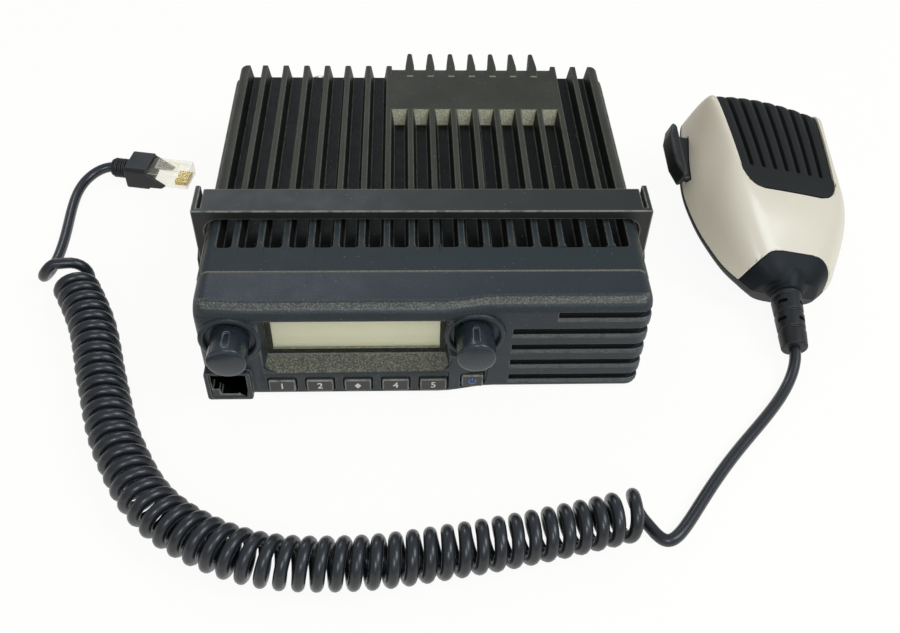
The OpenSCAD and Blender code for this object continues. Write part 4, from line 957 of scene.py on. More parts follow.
def repeated(name: str, shape: Mesh, count: int, step: Point, finish: Finishes) -> Mesh:
    """Repeat a shape along a line.

    Args:
        name: The result's name.
        shape: The shape at its first place.
        count: How often it stands there.
        step: Way from one to the next in millimetres.
        finish: The finish of the result.

    Returns:
        All of them as one mesh.
    """
    with held(shape) as first:
        tree = GeometryTree(name)
        number = tree.size("Count", count)
        gap = tree.size("Distance", Vector(step).length * MM)
        way = Vector(step).normalized()
        line = tree.node("GeometryNodeMeshLine", {}, {
            "Count": number, "Offset": tree.vector(gap * way.x, gap * way.y, gap * way.z)})
        copies = tree.node("GeometryNodeInstanceOnPoints", {}, {
            "Points": line, "Instance": tree.shape(first)})
        return tree.make(copies, finish.surface)


class Bench:
    """Where pieces are finished and put on the part's bodies."""

    def __init__(self, frame: Dict[str, object]) -> None:
        """Keep the frame and note each node's body and slot."""
        self.nodes: Dict[str, Piece] = frame["nodes"]
        record = frame["record"]
        self.bodies = {n: body for body, names in record["behaviour"]["bodies"].items() for n in names}
        self.slots = {part["node"]: part["material_slot"] for part in record["subparts"]}

    def softened(self, node: str, width: float, angle: float = BEVEL_ANGLE) -> Mesh:
        """Return a copy of a node's mesh with rounded edges, as soften does."""
        return soften(self.nodes[node].data, width, angle)

    def put(self, name: str, mesh: Mesh, finish: Finishes, replaces: Sequence[str] = (),
            body: str = RADIO) -> Piece:
        """Make a mesh a piece of the part.

        Args:
            name: The piece's name.
            mesh: Its mesh, in place.
            finish: Its finish.
            replaces: Nodes it stands for.
            body: The body it moves with.

        Returns:
            The piece.
        """
        piece = placed(name, mesh)
        finish.cover(mesh)
        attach(piece, body)
        finish.name in self.slots.values()
        if replaces:
            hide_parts(*replaces)
        LOG.info("%s: %d faces on %s", name, len(mesh.polygons), body)
        return piece

    def replace(self, node: str, mesh: Mesh, finish: Finishes) -> Piece:
        """Put a mesh in a node's stead, on the node's body."""
        return self.put(node + "_piece", mesh, finish, [node], self.bodies[node])

    def refine(self, node: str, finish: Finishes, width: float) -> Piece:
        """Replace a node by its own shape, with edges rounded by a width in millimetres."""
        return self.replace(node, self.softened(node, width), finish)


# Camera and studio


@dataclass
class PhotoCamera:
    """The camera at the photograph's viewing angle, in millimetres."""

    place: Point = (-6.375, -303.539, 281.931)
    right: Point = (0.99903, -0.03462, 0.02744)
    up: Point = (0.00619, 0.72474, 0.68900)
    forward: Point = (0.04374, 0.68815, -0.72425)
    focal_pixels: float = 980.4723
    picture_width: int = 900
    sensor: float = 36.0

    def build(self) -> None:
        """Make the camera and use it."""
        data = bpy.data.cameras.new("camera")
        data.sensor_fit = "HORIZONTAL"
        data.sensor_width = self.sensor
        data.lens = self.focal_pixels / self.picture_width * self.sensor
        data.clip_start = 0.01
        data.clip_end = 20.0
        camera = placed("camera", data)
        turn = Matrix((self.right, self.up, tuple(-c for c in self.forward))).transposed()
        camera.matrix_world = shift(*self.place) @ turn.to_4x4()
        bpy.context.scene.camera = camera


@dataclass
class Studio:
    """Pale floor, soft lamps and an even surround, in metres and watts."""

    floor_half: float = 4.0
    floor_colour: Colour = srgb(250, 246, 232)
    floor_glow: float = 0.93
    world_strength: float = 0.5
    world_colour: Colour = (1.0, 0.93, 0.71, 1.0)
    cool: Point = (0.85, 0.93, 1.0)
    target: Point = (0.0, 0.0, 0.02)
    lamps: Tuple[Tuple[str, Point, float, float], ...] = (
        ("key", (1.0, -0.35, 1.25), 0.8, 11.5),
        ("window", (-0.3, 1.3, 1.15), 0.5, 3.5),
        ("front", (0.0, -1.0, 1.0), 0.5, 5.0),
    )

    def build(self) -> None:
        """Make the floor, the surround and the lamps."""
        self.floor()
        self.surround()
        for name, place, size, power in self.lamps:
            data = bpy.data.lights.new(name, "AREA")
            data.shape = "DISK"
            data.size = size
            data.energy = power
            data.color = self.cool
            aim = (Vector(self.target) - Vector(place)).to_track_quat("-Z", "Y")
            placed(name, data).matrix_world = Matrix.Translation(place) @ aim.to_matrix().to_4x4()
        bpy.context.scene.view_settings.view_transform = "Standard"

    def floor(self) -> None:
        """Make the floor: white to the camera, mirrors and clear pieces, with soft shadows kept."""
        half = self.floor_half / MM
        outline = rectangle(-half, half, -half, half)
        mesh = mesh_from("floor", [(x, y, 0) for x, y in outline], [(0, 1, 2, 3)])
        shader = Shader("white_floor")
        rays = [shader.node("ShaderNodeLightPath", out=name)
                for name in ("Is Camera Ray", "Is Glossy Ray", "Is Transmission Ray")]
        seen = shader.maths("MINIMUM", rays[0] + rays[1] + rays[2], 1.0)
        matt = shader.node("ShaderNodeBsdfDiffuse", {}, {"Color": self.floor_colour})
        glow = shader.node("ShaderNodeEmission", {}, {"Color": WHITE, "Strength": 1.0})
        both = shader.node("ShaderNodeMixShader", {}, {0: seen * self.floor_glow, 1: matt, 2: glow})
        mesh.materials.append(shader.close(both))
        placed("floor", mesh)

    def surround(self) -> None:
        """Make the even surround: white to the camera, cool in reflections, warm as light."""
        world = bpy.data.worlds.new("surround")
        world.use_nodes = True
        graph = Graph(world.node_tree)
        graph.tree.nodes.clear()
        camera = graph.node("ShaderNodeLightPath", out="Is Camera Ray")
        glossy = graph.node("ShaderNodeLightPath", out="Is Glossy Ray")
        tint = graph.blend(glossy, self.world_colour, (*self.cool, 1.0))
        light = graph.node("ShaderNodeBackground", {}, {"Color": tint, "Strength": self.world_strength})
        white = graph.node("ShaderNodeBackground", {}, {"Color": WHITE, "Strength": 1.0})
        both = graph.node("ShaderNodeMixShader", {}, {0: camera, 1: light, 2: white})
        graph.node("ShaderNodeOutputWorld", {}, {"Surface": both})
        bpy.context.scene.world = world


# Hand microphone


@dataclass
class HandMicrophone:
    """Two-shell hand microphone lying on its hanger stud."""

    place_x: float = 141.2
    place_y: float = 13.6
    yaw: float = 1.25
    pitch: float = 11.4
    roll: float = 15.5
    thickness: float = 28.0
    joint: float = 6.0
    half_w: float = 36.4
    face_w: float = 27.2
    up: float = 39.5
    down: float = 46.0
    rim_r: float = 2.6
    low_rim: float = 5.5
    arch: float = 3.6
    crown: float = 0.35
    shell_edge: float = 0.4
    back_boxy: float = 2.8
    row_steps: int = 6
    flank_steps: int = 24
    face_steps: int = 7
    back_steps: int = 56
    cover_top: Flat = (11.3, -34.8)
    cover_foot: Flat = (23.0, -43.5)
    cover_gap: float = 0.35
    cover_grid: float = 0.4
    cover_rounds: int = 24
    neck: Tuple[Flat, ...] = (
        (0, -9), (6.5, -9), (8.2, -7), (9.0, -5), (8.9, -2.5), (8.2, 0), (7.4, 2), (6.9, 4), (0, 4))
    talk_slot: Tuple[float, float, float, float] = (-43.0, -16.0, 3.2, 27.8)
    talk_slot_z: Flat = (7.3, 10.7)
    grille_top_w: float = 25.0
    grille_low_w: float = 21.8
    grille_l: float = 41.0
    grille_lip: float = 10.5
    lip_straight: float = 0.15
    lip_lean: float = 0.8
    lip_r: float = 8.0
    lip_steps: int = 14
    pocket_d: float = 5.6
    pocket_gap: float = 0.2
    grille_t: float = 2.4
    grille_sink: float = 0.4
    rib_count: int = 8
    rib_points: int = 22
    rib_d: float = 2.0
    rib_foot: float = 0.7
    rib_gap: float = 0.12
    rib_step: float = 0.15
    relief: Point = (-1.5, -45.0, 9.3)
    relief_l: float = 28.5
    relief_r: float = 6.2
    relief_taper: float = 0.042
    relief_turn: float = 6.0
    relief_grooves: Point = (5.4, 13.0, 20.6)
    relief_windows: Tuple[Flat, ...] = ((9.2, -40), (9.2, 55), (16.8, -25), (16.8, 70))
    stud_l: float = 9.6
    stud_head_r: float = 6.4
    stud_sides: int = 24

    def rows(self) -> List[Row]:
        """Return place, joint half width, face half width and face height of each section."""
        w, t, f = self.half_w, self.thickness, self.face_w
        return [
            (-self.down, w - 21.9, 9.5, t - 12), (-42, w - 17, 12, t - 10), (-35, w - 10.4, 15.5, t - 7.6),
            (-22, w - 4, 21, t - 3), (-10, w - 0.9, 24.4, t - 0.4), (0, w, f - 1.6, t + 0.2),
            (12, w - 1.2, f - 0.9, t + 0.4), (25, w - 4.2, f, t + 0.2), (34, w - 6, f + 1.3, t - 0.4),
            (self.up - 2, w - 6.9, f + 1.4, t - 1.6), (self.up, w - 7.8, f + 0.4, t - 4)]

    def bowed(self, x: float, y: float) -> float:
        """Return how far the top end bulges at a place."""
        return self.arch * eased((y - 22) / 18) * max(0.0, 1 - (x / self.face_w) ** 2)

    def flat_half(self, row: Row) -> float:
        """Return half the width of the face's flat part at a section."""
        return row[2] - self.rim_r - self.low_rim * eased((4 - row[0]) / 26)

    def face_z(self, x: float, row: Row) -> float:
        """Return the height of the face's flat part at a place of a section."""
        bulge = max(0.0, 1 - (x / self.flat_half(row)) ** 2)
        return row[3] + self.crown * eased((row[0] + 34) / 14) * bulge

    def front_section(self, row: Row) -> List[Point]:
        """Return one outline of the front shell, in the microphone's own frame."""
        y, joint_w, face_w, height = row
        lean, rise = joint_w - face_w, height - self.joint
        flat = self.flat_half(row)
        turn = face_w + 0.5 * lean * eased((8 - y) / 26)
        ends = [Vector((joint_w, self.joint)), Vector((joint_w - 0.45 * lean, self.joint + 0.55 * rise)),
                Vector((turn, height)), Vector((flat, height))]
        side = [tuple(bezier(ends, k / self.flank_steps)) for k in range(self.flank_steps + 1)]
        for k in range(1, self.face_steps):
            x = flat * (1 - k / self.face_steps)
            side.append((x, self.face_z(x, row)))
        ring = side + [(0.0, self.face_z(0.0, row))] + [(-x, z) for x, z in reversed(side)]
        return [(x, y + self.bowed(x, y), z) for x, z in ring]

    def back_section(self, row: Row, steps: int) -> List[Point]:
        """Return one outline of the back shell in so many pieces, in the microphone's own frame."""
        power = 2 / self.back_boxy
        points: List[Point] = []
        for k in range(steps + 1):
            turn = math.pi * k / steps
            run = math.copysign(abs(math.cos(turn)) ** power, math.cos(turn))
            points.append((-run * row[1], row[0], self.joint * (1 - abs(math.sin(turn)) ** power)))
        return points

    def turn(self) -> Matrix:
        """Return the microphone's turn on the table."""
        return rotation(self.yaw, "Z", 3) @ rotation(self.pitch, "X", 3) @ rotation(self.roll, "Y", 3)

    def place(self) -> Matrix:
        """Return the microphone's place, in millimetres, with its lowest point on the table."""
        turn = self.turn()
        low = [p for row in catmull(self.rows(), 2) for p in self.back_section(row, 20)]
        r = self.stud_head_r
        low += [(r * c, r * s, -self.stud_l) for c, s in circle(self.stud_sides)]
        lift = -min((turn @ Vector(p)).z for p in low)
        return Matrix.Translation((self.place_x, self.place_y, lift)) @ turn.to_4x4()

    def put_in_place(self, mesh: Mesh) -> Mesh:
        """Move a mesh from the microphone's own frame to the table."""
        place = self.place()
        place.translation *= MM
        mesh.transform(place)
        return mesh

    def relief_end(self) -> Tuple[Point, Point]:
        """Return the point where the cord leaves the strain relief, and its direction."""
        way = rotation(-self.relief_turn, "Z", 3) @ Vector((0, -1, 0))
        spot = Vector(self.relief) + way * self.relief_l
        return tuple(self.place() @ spot), tuple(self.turn() @ way)

    def along_relief(self, mesh: Mesh) -> Mesh:
        """Lay a mesh that stands on the Z axis along the strain relief."""
        mesh.transform(shift(*self.relief) @ rotation(-self.relief_turn, "Z") @ rotation(90, "X"))
        return mesh

    def grille_half(self, y: float) -> float:
        """Return the grille's half width at a place."""
        if y >= 0:
            return self.grille_low_w + (self.grille_top_w - self.grille_low_w) * y / self.grille_l
        depth = -y / self.grille_lip
        inward = max(0.0, depth - self.lip_straight) / (1 - self.lip_straight)
        corner = 1 - math.sqrt(max(0.0, 1 - inward ** 2))
        return self.grille_low_w - self.lip_lean * depth - self.lip_r * corner

    def pocket_outline(self) -> List[Flat]:
        """Return the outline of the grille's pocket, drawn past the top end."""
        gap = self.pocket_gap
        low = [self.grille_lip * (k / self.lip_steps - 1) for k in range(self.lip_steps)]
        side = [(self.grille_half(y) + gap, y - gap * (1 + y / 100)) for y in low]
        side += [(self.grille_half(y) + gap, y) for y in (0.0, self.grille_l + 4)]
        return side + [(-x, y) for x, y in reversed(side)]

    def build(self, bench: Bench) -> None:
        """Make the microphone's pieces."""
        self.build_shells(bench)
        self.build_grille(bench)
        self.build_relief(bench)
        bench.refine("ptt_button", Finishes.black_rubber, 1.3)
        bench.refine("mic_hanger_stud", Finishes.bright_steel, 0.3)

    def build_shells(self, bench: Bench) -> None:
        """Make the front shell, the cord cover and the back shell."""
        rows = catmull(self.rows(), self.row_steps)
        front = skin("front_shell", [self.front_section(row) for row in rows])
        field_mesh = prism("cover_field", self.cover_outline(), self.joint - 2, self.thickness + 4)
        cover = combine(front.copy(), field_mesh.copy(), Join.SHARE)
        field_mesh.transform(shift(0, -self.cover_gap, 0))
        pocket_floor = self.thickness - self.pocket_d
        pocket = prism("grille_pocket", self.pocket_outline(), pocket_floor, self.thickness + 5)
        slot = prism("talk_slot", rectangle(*self.talk_slot), *self.talk_slot_z)
        for tool in (field_mesh, pocket, slot):
            front = combine(front, tool, Join.CUT)
        front = self.put_in_place(soften(front, self.shell_edge, BLUNT_ANGLE, 3))
        bench.replace("mic_front_shell", front, Finishes.beige_shell)
        flare = self.along_relief(lathe("neck", self.neck))
        upper_side = prism("upper_side", rectangle(-30, 30, -60, 0), self.joint, 40)
        cover = combine(cover, combine(flare, upper_side, Join.SHARE), Join.FUSE)
        cover = self.put_in_place(melted(cover, self.cover_grid, self.cover_rounds))
        bench.replace("mic_cord_cover", cover, Finishes.cover_plastic)
        back = skin("back_shell", [self.back_section(row, self.back_steps) for row in rows])
        back = self.put_in_place(soften(back, self.shell_edge, BLUNT_ANGLE))
        bench.replace("mic_back_shell", back, Finishes.dark_shell)

    def cover_outline(self) -> List[Flat]:
        """Return the cord cover's outline, seen from the front."""
        w, far = self.half_w, -self.down - 5
        top_w, top = self.cover_top
        foot_w, foot = self.cover_foot
        return rounded([(-top_w, top), (top_w, top), (foot_w, foot), (w, foot), (w, far), (-w, far),
                        (-w, foot), (-foot_w, foot)], [3.0, 3.0, 0.5, 0.1, 0.1, 0.1, 0.1, 0.5])

    def grille_blank(self) -> Mesh:
        """Make the plain grille, which knows each point's place across and along it.

        Returns:
            A mesh with the layers "across", "along" and "face".
        """
        stations = [row for row in catmull(self.rows(), 10) if -self.grille_lip < row[0] < self.up - 0.1]
        columns = self.rib_count * self.rib_points
        points: List[Point] = []
        layers: Dict[str, List[float]] = {"across": [], "along": [], "face": []}
        for side in (1.0, 0.0):
            for row in stations:
                y = row[0]
                for i in range(columns + 1):
                    across = 2 * i / columns - 1
                    x = across * self.grille_half(y)
                    z = self.face_z(x, row) - self.grille_sink - self.grille_t * (1 - side)
                    points.append((x, y + self.bowed(x, y), z))
                    layers["across"].append(across)
                    layers["along"].append(y * MM)
                    layers["face"].append(side)
        wide = columns + 1
        count = len(stations)
        under = wide * count
        faces = [(r * wide + c, r * wide + c + 1, (r + 1) * wide + c + 1, (r + 1) * wide + c)
                 for r in range(count - 1) for c in range(columns)]
        faces += [tuple(under + k for k in reversed(face)) for face in faces]
        rim = list(range(wide)) + [r * wide + columns for r in range(1, count)]
        rim += [(count - 1) * wide + c for c in range(columns - 1, -1, -1)]
        rim += [r * wide for r in range(count - 2, 0, -1)]
        faces += [(a, under + a, under + b, b) for a, b in zip(rim, rim[1:] + rim[:1])]
        mesh = mesh_from("grille_blank", points, faces)
        for name, values in layers.items():
            mesh.attributes.new(name, "FLOAT", "POINT").data.foreach_set("value", values)
        return mesh

    def build_grille(self, bench: Bench) -> None:
        """Make the ribbed grille with its plain lip."""
        tree = GeometryTree("grille_ribs")
        count = tree.size("Rib count", self.rib_count)
        depth = tree.size("Rib height", self.rib_d * MM)
        foot = tree.size("Foot of the ribs", self.rib_foot * MM)
        share = tree.size("Half a gap, as a share of the pitch", self.rib_gap)
        step = tree.size("Step below the lip, as a share of the height", self.rib_step)
        across, along, face = [tree.node("GeometryNodeInputNamedAttribute", {}, {"Name": name})
                               for name in ("across", "along", "face")]
        wave = tree.maths("PINGPONG", (across + 1) * count * 0.5, 0.5)
        gap = tree.ramp(wave, share + 0.04, share - 0.02)
        round_off = tree.ramp(wave, 0.5, 0.12, 0.0, 0.12)
        off_middle = tree.maths("ABSOLUTE", across)
        inside = tree.ramp(off_middle, 1 - 0.5 / self.rib_count, 1 - 0.7 / self.rib_count)
        ribbed = tree.ramp(along, foot, foot + 0.5 * MM)
        drop = depth * (gap * inside + round_off + step) * ribbed * face * -1
        with held(self.grille_blank()) as blank:
            moved = tree.node("GeometryNodeSetPosition", {}, {
                "Geometry": tree.shape(blank), "Offset": tree.vector(0.0, 0.0, drop)})
            ribs = smoothed(tree.make(moved, Finishes.grille_plastic.surface), RIM_ANGLE)
        bench.replace("mic_grille", self.put_in_place(ribs), Finishes.grille_plastic)

    def build_relief(self, bench: Bench) -> None:
        """Make the segmented strain relief."""
        profile: List[Flat] = [(0, 0), (self.relief_r, 0)]
        joints = (0.0, *self.relief_grooves, self.relief_l)
        for start, end in zip(joints, joints[1:]):
            wide = self.relief_r - self.relief_taper * start
            thin = self.relief_r - self.relief_taper * end
            profile += [(wide - 0.7, start + 0.35), (wide - 0.15, start + 0.75), (wide, start + 1.2),
                        (thin, end - 0.9), (thin - 0.15, end - 0.5), (thin - 0.8, end - 0.1)]
        profile += [(0, self.relief_l)]
        body = lathe("strain_relief", profile)
        for along, turn in self.relief_windows:
            hole = prism("window", rounded(rectangle(-2.0, 2.0, -0.9, 0.9), [0.9] * 4), 3.6, 9.0)
            hole.transform(shift(0, 0, along) @ rotation(turn, "Z") @ rotation(-90, "X"))
            body = combine(body, hole, Join.CUT)
        body = self.put_in_place(self.along_relief(soften(body, 0.2, 45.0)))
        bench.replace("mic_strain_relief", body, Finishes.black_rubber)


# Plug and cord


@dataclass
class ModularPlug:
    """Clear eight-way plug in a black boot."""

    nose: Flat = (-102.5, 47.0)
    yaw: float = -10.0
    length: float = 21.5
    held_l: float = 4.0
    boot_l: float = 10.0
    boot_h: float = 10.6
    collar_l: float = 8.0

    def cord_end(self) -> Tuple[Point, Point]:
        """Return the point where the cord enters the boot, and its direction away from the boot."""
        turn = rotation(self.yaw, "Z", 3)
        back = -self.length + self.held_l - self.boot_l - self.collar_l
        spot = turn @ Vector((back, 0, self.boot_h / 2)) + Vector((*self.nose, 0))
        return tuple(spot), tuple(turn @ Vector((-1, 0, 0)))

    def build(self, bench: Bench) -> List[Piece]:
        """Make and return the boot, the plug and its contacts."""
        return [bench.refine("plug_boot", Finishes.black_rubber, 0.5),
                bench.refine("plug_body", Finishes.clear_plug, 0.2),
                bench.refine("plug_contacts", Finishes.gold_contact, 0.06)]


@dataclass
class CurlyCord:
    """The microphone's cord: a straight end, the curls and a straight end with the plug."""

    diameter: float = 4.3
    sides: int = 14
    curl_d: float = 17.3
    curl_count: float = 50.5
    curl_open: float = 4.0
    steps_per_curl: int = 24
    axis_steps: int = 16
    tail_steps: int = 8
    relax_rounds: int = 70
    axis: Tuple[Flat, ...] = (
        (-139, -20), (-125, -47), (-115, -76), (-104, -104), (-86, -130), (-57, -146), (-24, -149),
        (10, -145), (42, -139), (72, -132))
    mic_tail: Tuple[Point, ...] = (
        (138, -71, 3), (132, -80, 2.5), (122, -91, 2.5), (112, -101, 2.5), (103, -111, 2.5),
        (95, -121, 2.5), (89, -129, 2.5), (84, -135.5, 2.5), (79.5, -140, 2.5))
    plug_tail: Tuple[Point, ...] = (
        (-148.5, -24, 11.2), (-150.3, -19.5, 6.4), (-149.8, -12, 3.2), (-149, -2, 2.3), (-149.5, 12, 2.3),
        (-151, 26, 2.3), (-151.4, 38, 2.4), (-149.4, 47.5, 3.6))
    runs: List[float] = field(default_factory=list)
    fine: List[Tuple[float, ...]] = field(default_factory=list)

    def __post_init__(self) -> None:
        """Work out the running length along the axis of the curls."""
        self.fine = catmull(self.axis, self.axis_steps)
        self.runs = [0.0]
        for a, b in zip(self.fine, self.fine[1:]):
            self.runs.append(self.runs[-1] + math.dist(a, b))

    def axis_at(self, run: float) -> Vector:
        """Return the point of the curls' axis at a running length."""
        run = min(max(run, 0.0), self.runs[-1])
        i = max(k for k in range(len(self.runs) - 1) if self.runs[k] <= run)
        share = (run - self.runs[i]) / (self.runs[i + 1] - self.runs[i])
        return Vector(self.fine[i]).lerp(Vector(self.fine[i + 1]), share)

    def curl_point(self, k: float) -> Vector:
        """Return the cord's centre after k curls."""
        pitch = (self.runs[-1] - 2 * self.curl_open) / self.curl_count
        run = pitch * k + self.curl_open * (
            max(0.0, k - self.curl_count + 1) ** 2 + 1 - max(0.0, 1 - k) ** 2)
        middle = self.axis_at(run)
        ahead = (self.axis_at(run + 1) - self.axis_at(run - 1)).normalized()
        radius = (self.curl_d - self.diameter) / 2
        turn = 2 * math.pi * k
        aside = radius * math.sin(turn)
        return Vector((middle.x - ahead.y * aside, middle.y + ahead.x * aside,
                       self.curl_d / 2 + radius * math.cos(turn)))

    def route(self, start: Tuple[Point, Point], end: Tuple[Point, Point]) -> List[Point]:
        """Return the cord's centre line.

        Args:
            start: Point and direction where the cord leaves the microphone.
            end: Point and direction where it enters the boot.

        Returns:
            Points from the microphone to the plug.
        """
        d = self.diameter
        count = round(self.curl_count * self.steps_per_curl)
        curls = [self.curl_point(i / self.steps_per_curl) for i in range(count + 1)]
        first_way = (self.curl_point(0.01) - curls[0]).normalized()
        last_way = (curls[-1] - self.curl_point(self.curl_count - 0.01)).normalized()
        curl_start = curls[0] - first_way * d
        curl_end = curls[-1] + last_way * d
        exit_spot, exit_way = Vector(start[0]), Vector(start[1])
        plug_spot, plug_way = Vector(end[0]), Vector(end[1])
        near = [exit_spot, exit_spot + exit_way * d, *self.mic_tail, curl_end + last_way * d, curl_end]
        far = [curl_start, curl_start - first_way * d / 2, *self.plug_tail, plug_spot + plug_way * d,
               plug_spot]
        return self.relaxed(near) + [tuple(p) for p in reversed(curls)] + self.relaxed(far)

    def relaxed(self, points: Sequence[Sequence[float]]) -> List[Point]:
        """Draw a line through points and open its tight bends, with its ends and their directions kept."""
        spots = [Vector(p) for p in catmull([tuple(p) for p in points], self.tail_steps)]
        for _ in range(self.relax_rounds):
            inner = [(a + 2 * b + c) / 4 for a, b, c in zip(spots[1:], spots[2:], spots[3:])]
            spots = spots[:2] + inner[:-1] + spots[-2:]
        return [tuple(p) for p in spots]

    def build(self, bench: Bench, start: Tuple[Point, Point], end: Tuple[Point, Point],
              plug: Sequence[Piece]) -> None:
        """Args:
            bench: Where the piece is finished.
            start: Point and direction where the cord leaves the microphone.
            end: Point and direction where it enters the boot.
            plug: The pieces on its far end. It is not used.
        """
        line = self.route(start, end)
        mesh = tube("microphone_cord", line, self.diameter / 2, self.sides)
        piece = bench.put("microphone_cord", mesh, Finishes.cord_jacket,
                          ["cord_mic_tail", "curly_cord", "cord_plug_tail"])
        tuple(c * MM for c in start[0])
        [tuple(c * MM for c in p) for p in line]


# Radio


@dataclass
class RadioCase:
    """Die-cast chassis, bottom cover, bracket and rear sockets."""

    fin_edge: float = 0.4
    sheet_edge: float = 0.5
    front_y: float = -56.5
    rear_y: float = 74.0
    top: float = 45.0
    fin_h: float = 6.0
    fins_half_w: float = 76.0
    plate_l: float = 33.0
    plate_bevel: float = 8.0
    fin_pitch: float = 9.0
    first_rear_fin: float = -0.5
    rear_fins: int = 7
    pad: Tuple[Flat, ...] = ((-1.5, -0.5), (1.5, -0.5), (1.3, 0.5), (-1.3, 0.5))
    pad_z: Flat = (-0.4, 0.18)

    def depth_mark(self, spot: Vector, way: Vector) -> float:
        """Return how strongly painted shade darkens a face of a valley."""
        low, high = self.top - self.fin_h - 0.5, self.top - 0.35
        if abs(spot.x) > self.fins_half_w or not low < spot.z < high:
            return 0.0
        if way.z > 0.8 and spot.z < self.top - 3:
            return 1.0
        return 0.85 if abs(way.x) > 0.85 else 0.0

    def dust_mark(self, spot: Vector, way: Vector) -> float:
        """Return how much light grey a face takes: painted sheen on the front slopes at the plate, dust
        along the joint.
        """
        plate_y = self.rear_y - self.plate_l
        if way.y < -0.6 and way.z > 0.25 and plate_y - 5 < spot.y < plate_y + 1:
            return 1.0
        if spot.z > self.top - 1.5 and abs(spot.y - self.front_y) < 0.5:
            return 0.5
        return 0.0

    def deck_mark(self, spot: Vector, way: Vector) -> float:
        """Return 1 on the deck and the flat tops of the fins, where the painted bluish reflection goes."""
        return 1.0 if way.z > 0.8 and spot.z > self.top - 1 else 0.0

    def build(self, bench: Bench) -> None:
        """Make the case's pieces."""
        chassis = bench.softened("chassis", self.fin_edge)
        # Where the painted bluish reflection goes.
        mark(chassis, DECK_SHEEN_LAYER, self.deck_mark)
        # Painted shade in the valleys between the fins.
        mark(chassis, "deep", self.depth_mark)
        # Dust along the joint, and painted sheen on the front slopes at the plate.
        mark(chassis, "dusty", self.dust_mark)
        bench.replace("chassis", chassis, Finishes.cast_body)
        pad = soften(prism("pad", rounded(self.pad, [0.3] * 4), *self.pad_z), 0.1)
        pad_y = self.rear_y - self.plate_bevel - 0.4
        pad.transform(shift(self.first_rear_fin * self.fin_pitch, pad_y, self.top))
        pads = repeated("fin_pads", pad, self.rear_fins, (self.fin_pitch, 0, 0), Finishes.cast_body)
        # The pads are lightened all over as a painted highlight at the front ends of the rear fins.
        mark(pads, "dusty", lambda spot, way: 0.6)
        bench.put("fin_pads", pads, Finishes.cast_body)
        bench.refine("bottom_cover", Finishes.dark_sheet, self.sheet_edge)
        bench.refine("bracket", Finishes.dark_sheet, self.sheet_edge)
        bench.refine("bracket_bolts", Finishes.black_steel, 0.2)
        bench.refine("bracket_washers", Finishes.black_rubber, 0.3)
        bench.refine("antenna_socket", Finishes.nickel, 0.2)
        bench.refine("supply_gland", Finishes.black_rubber, 0.4)


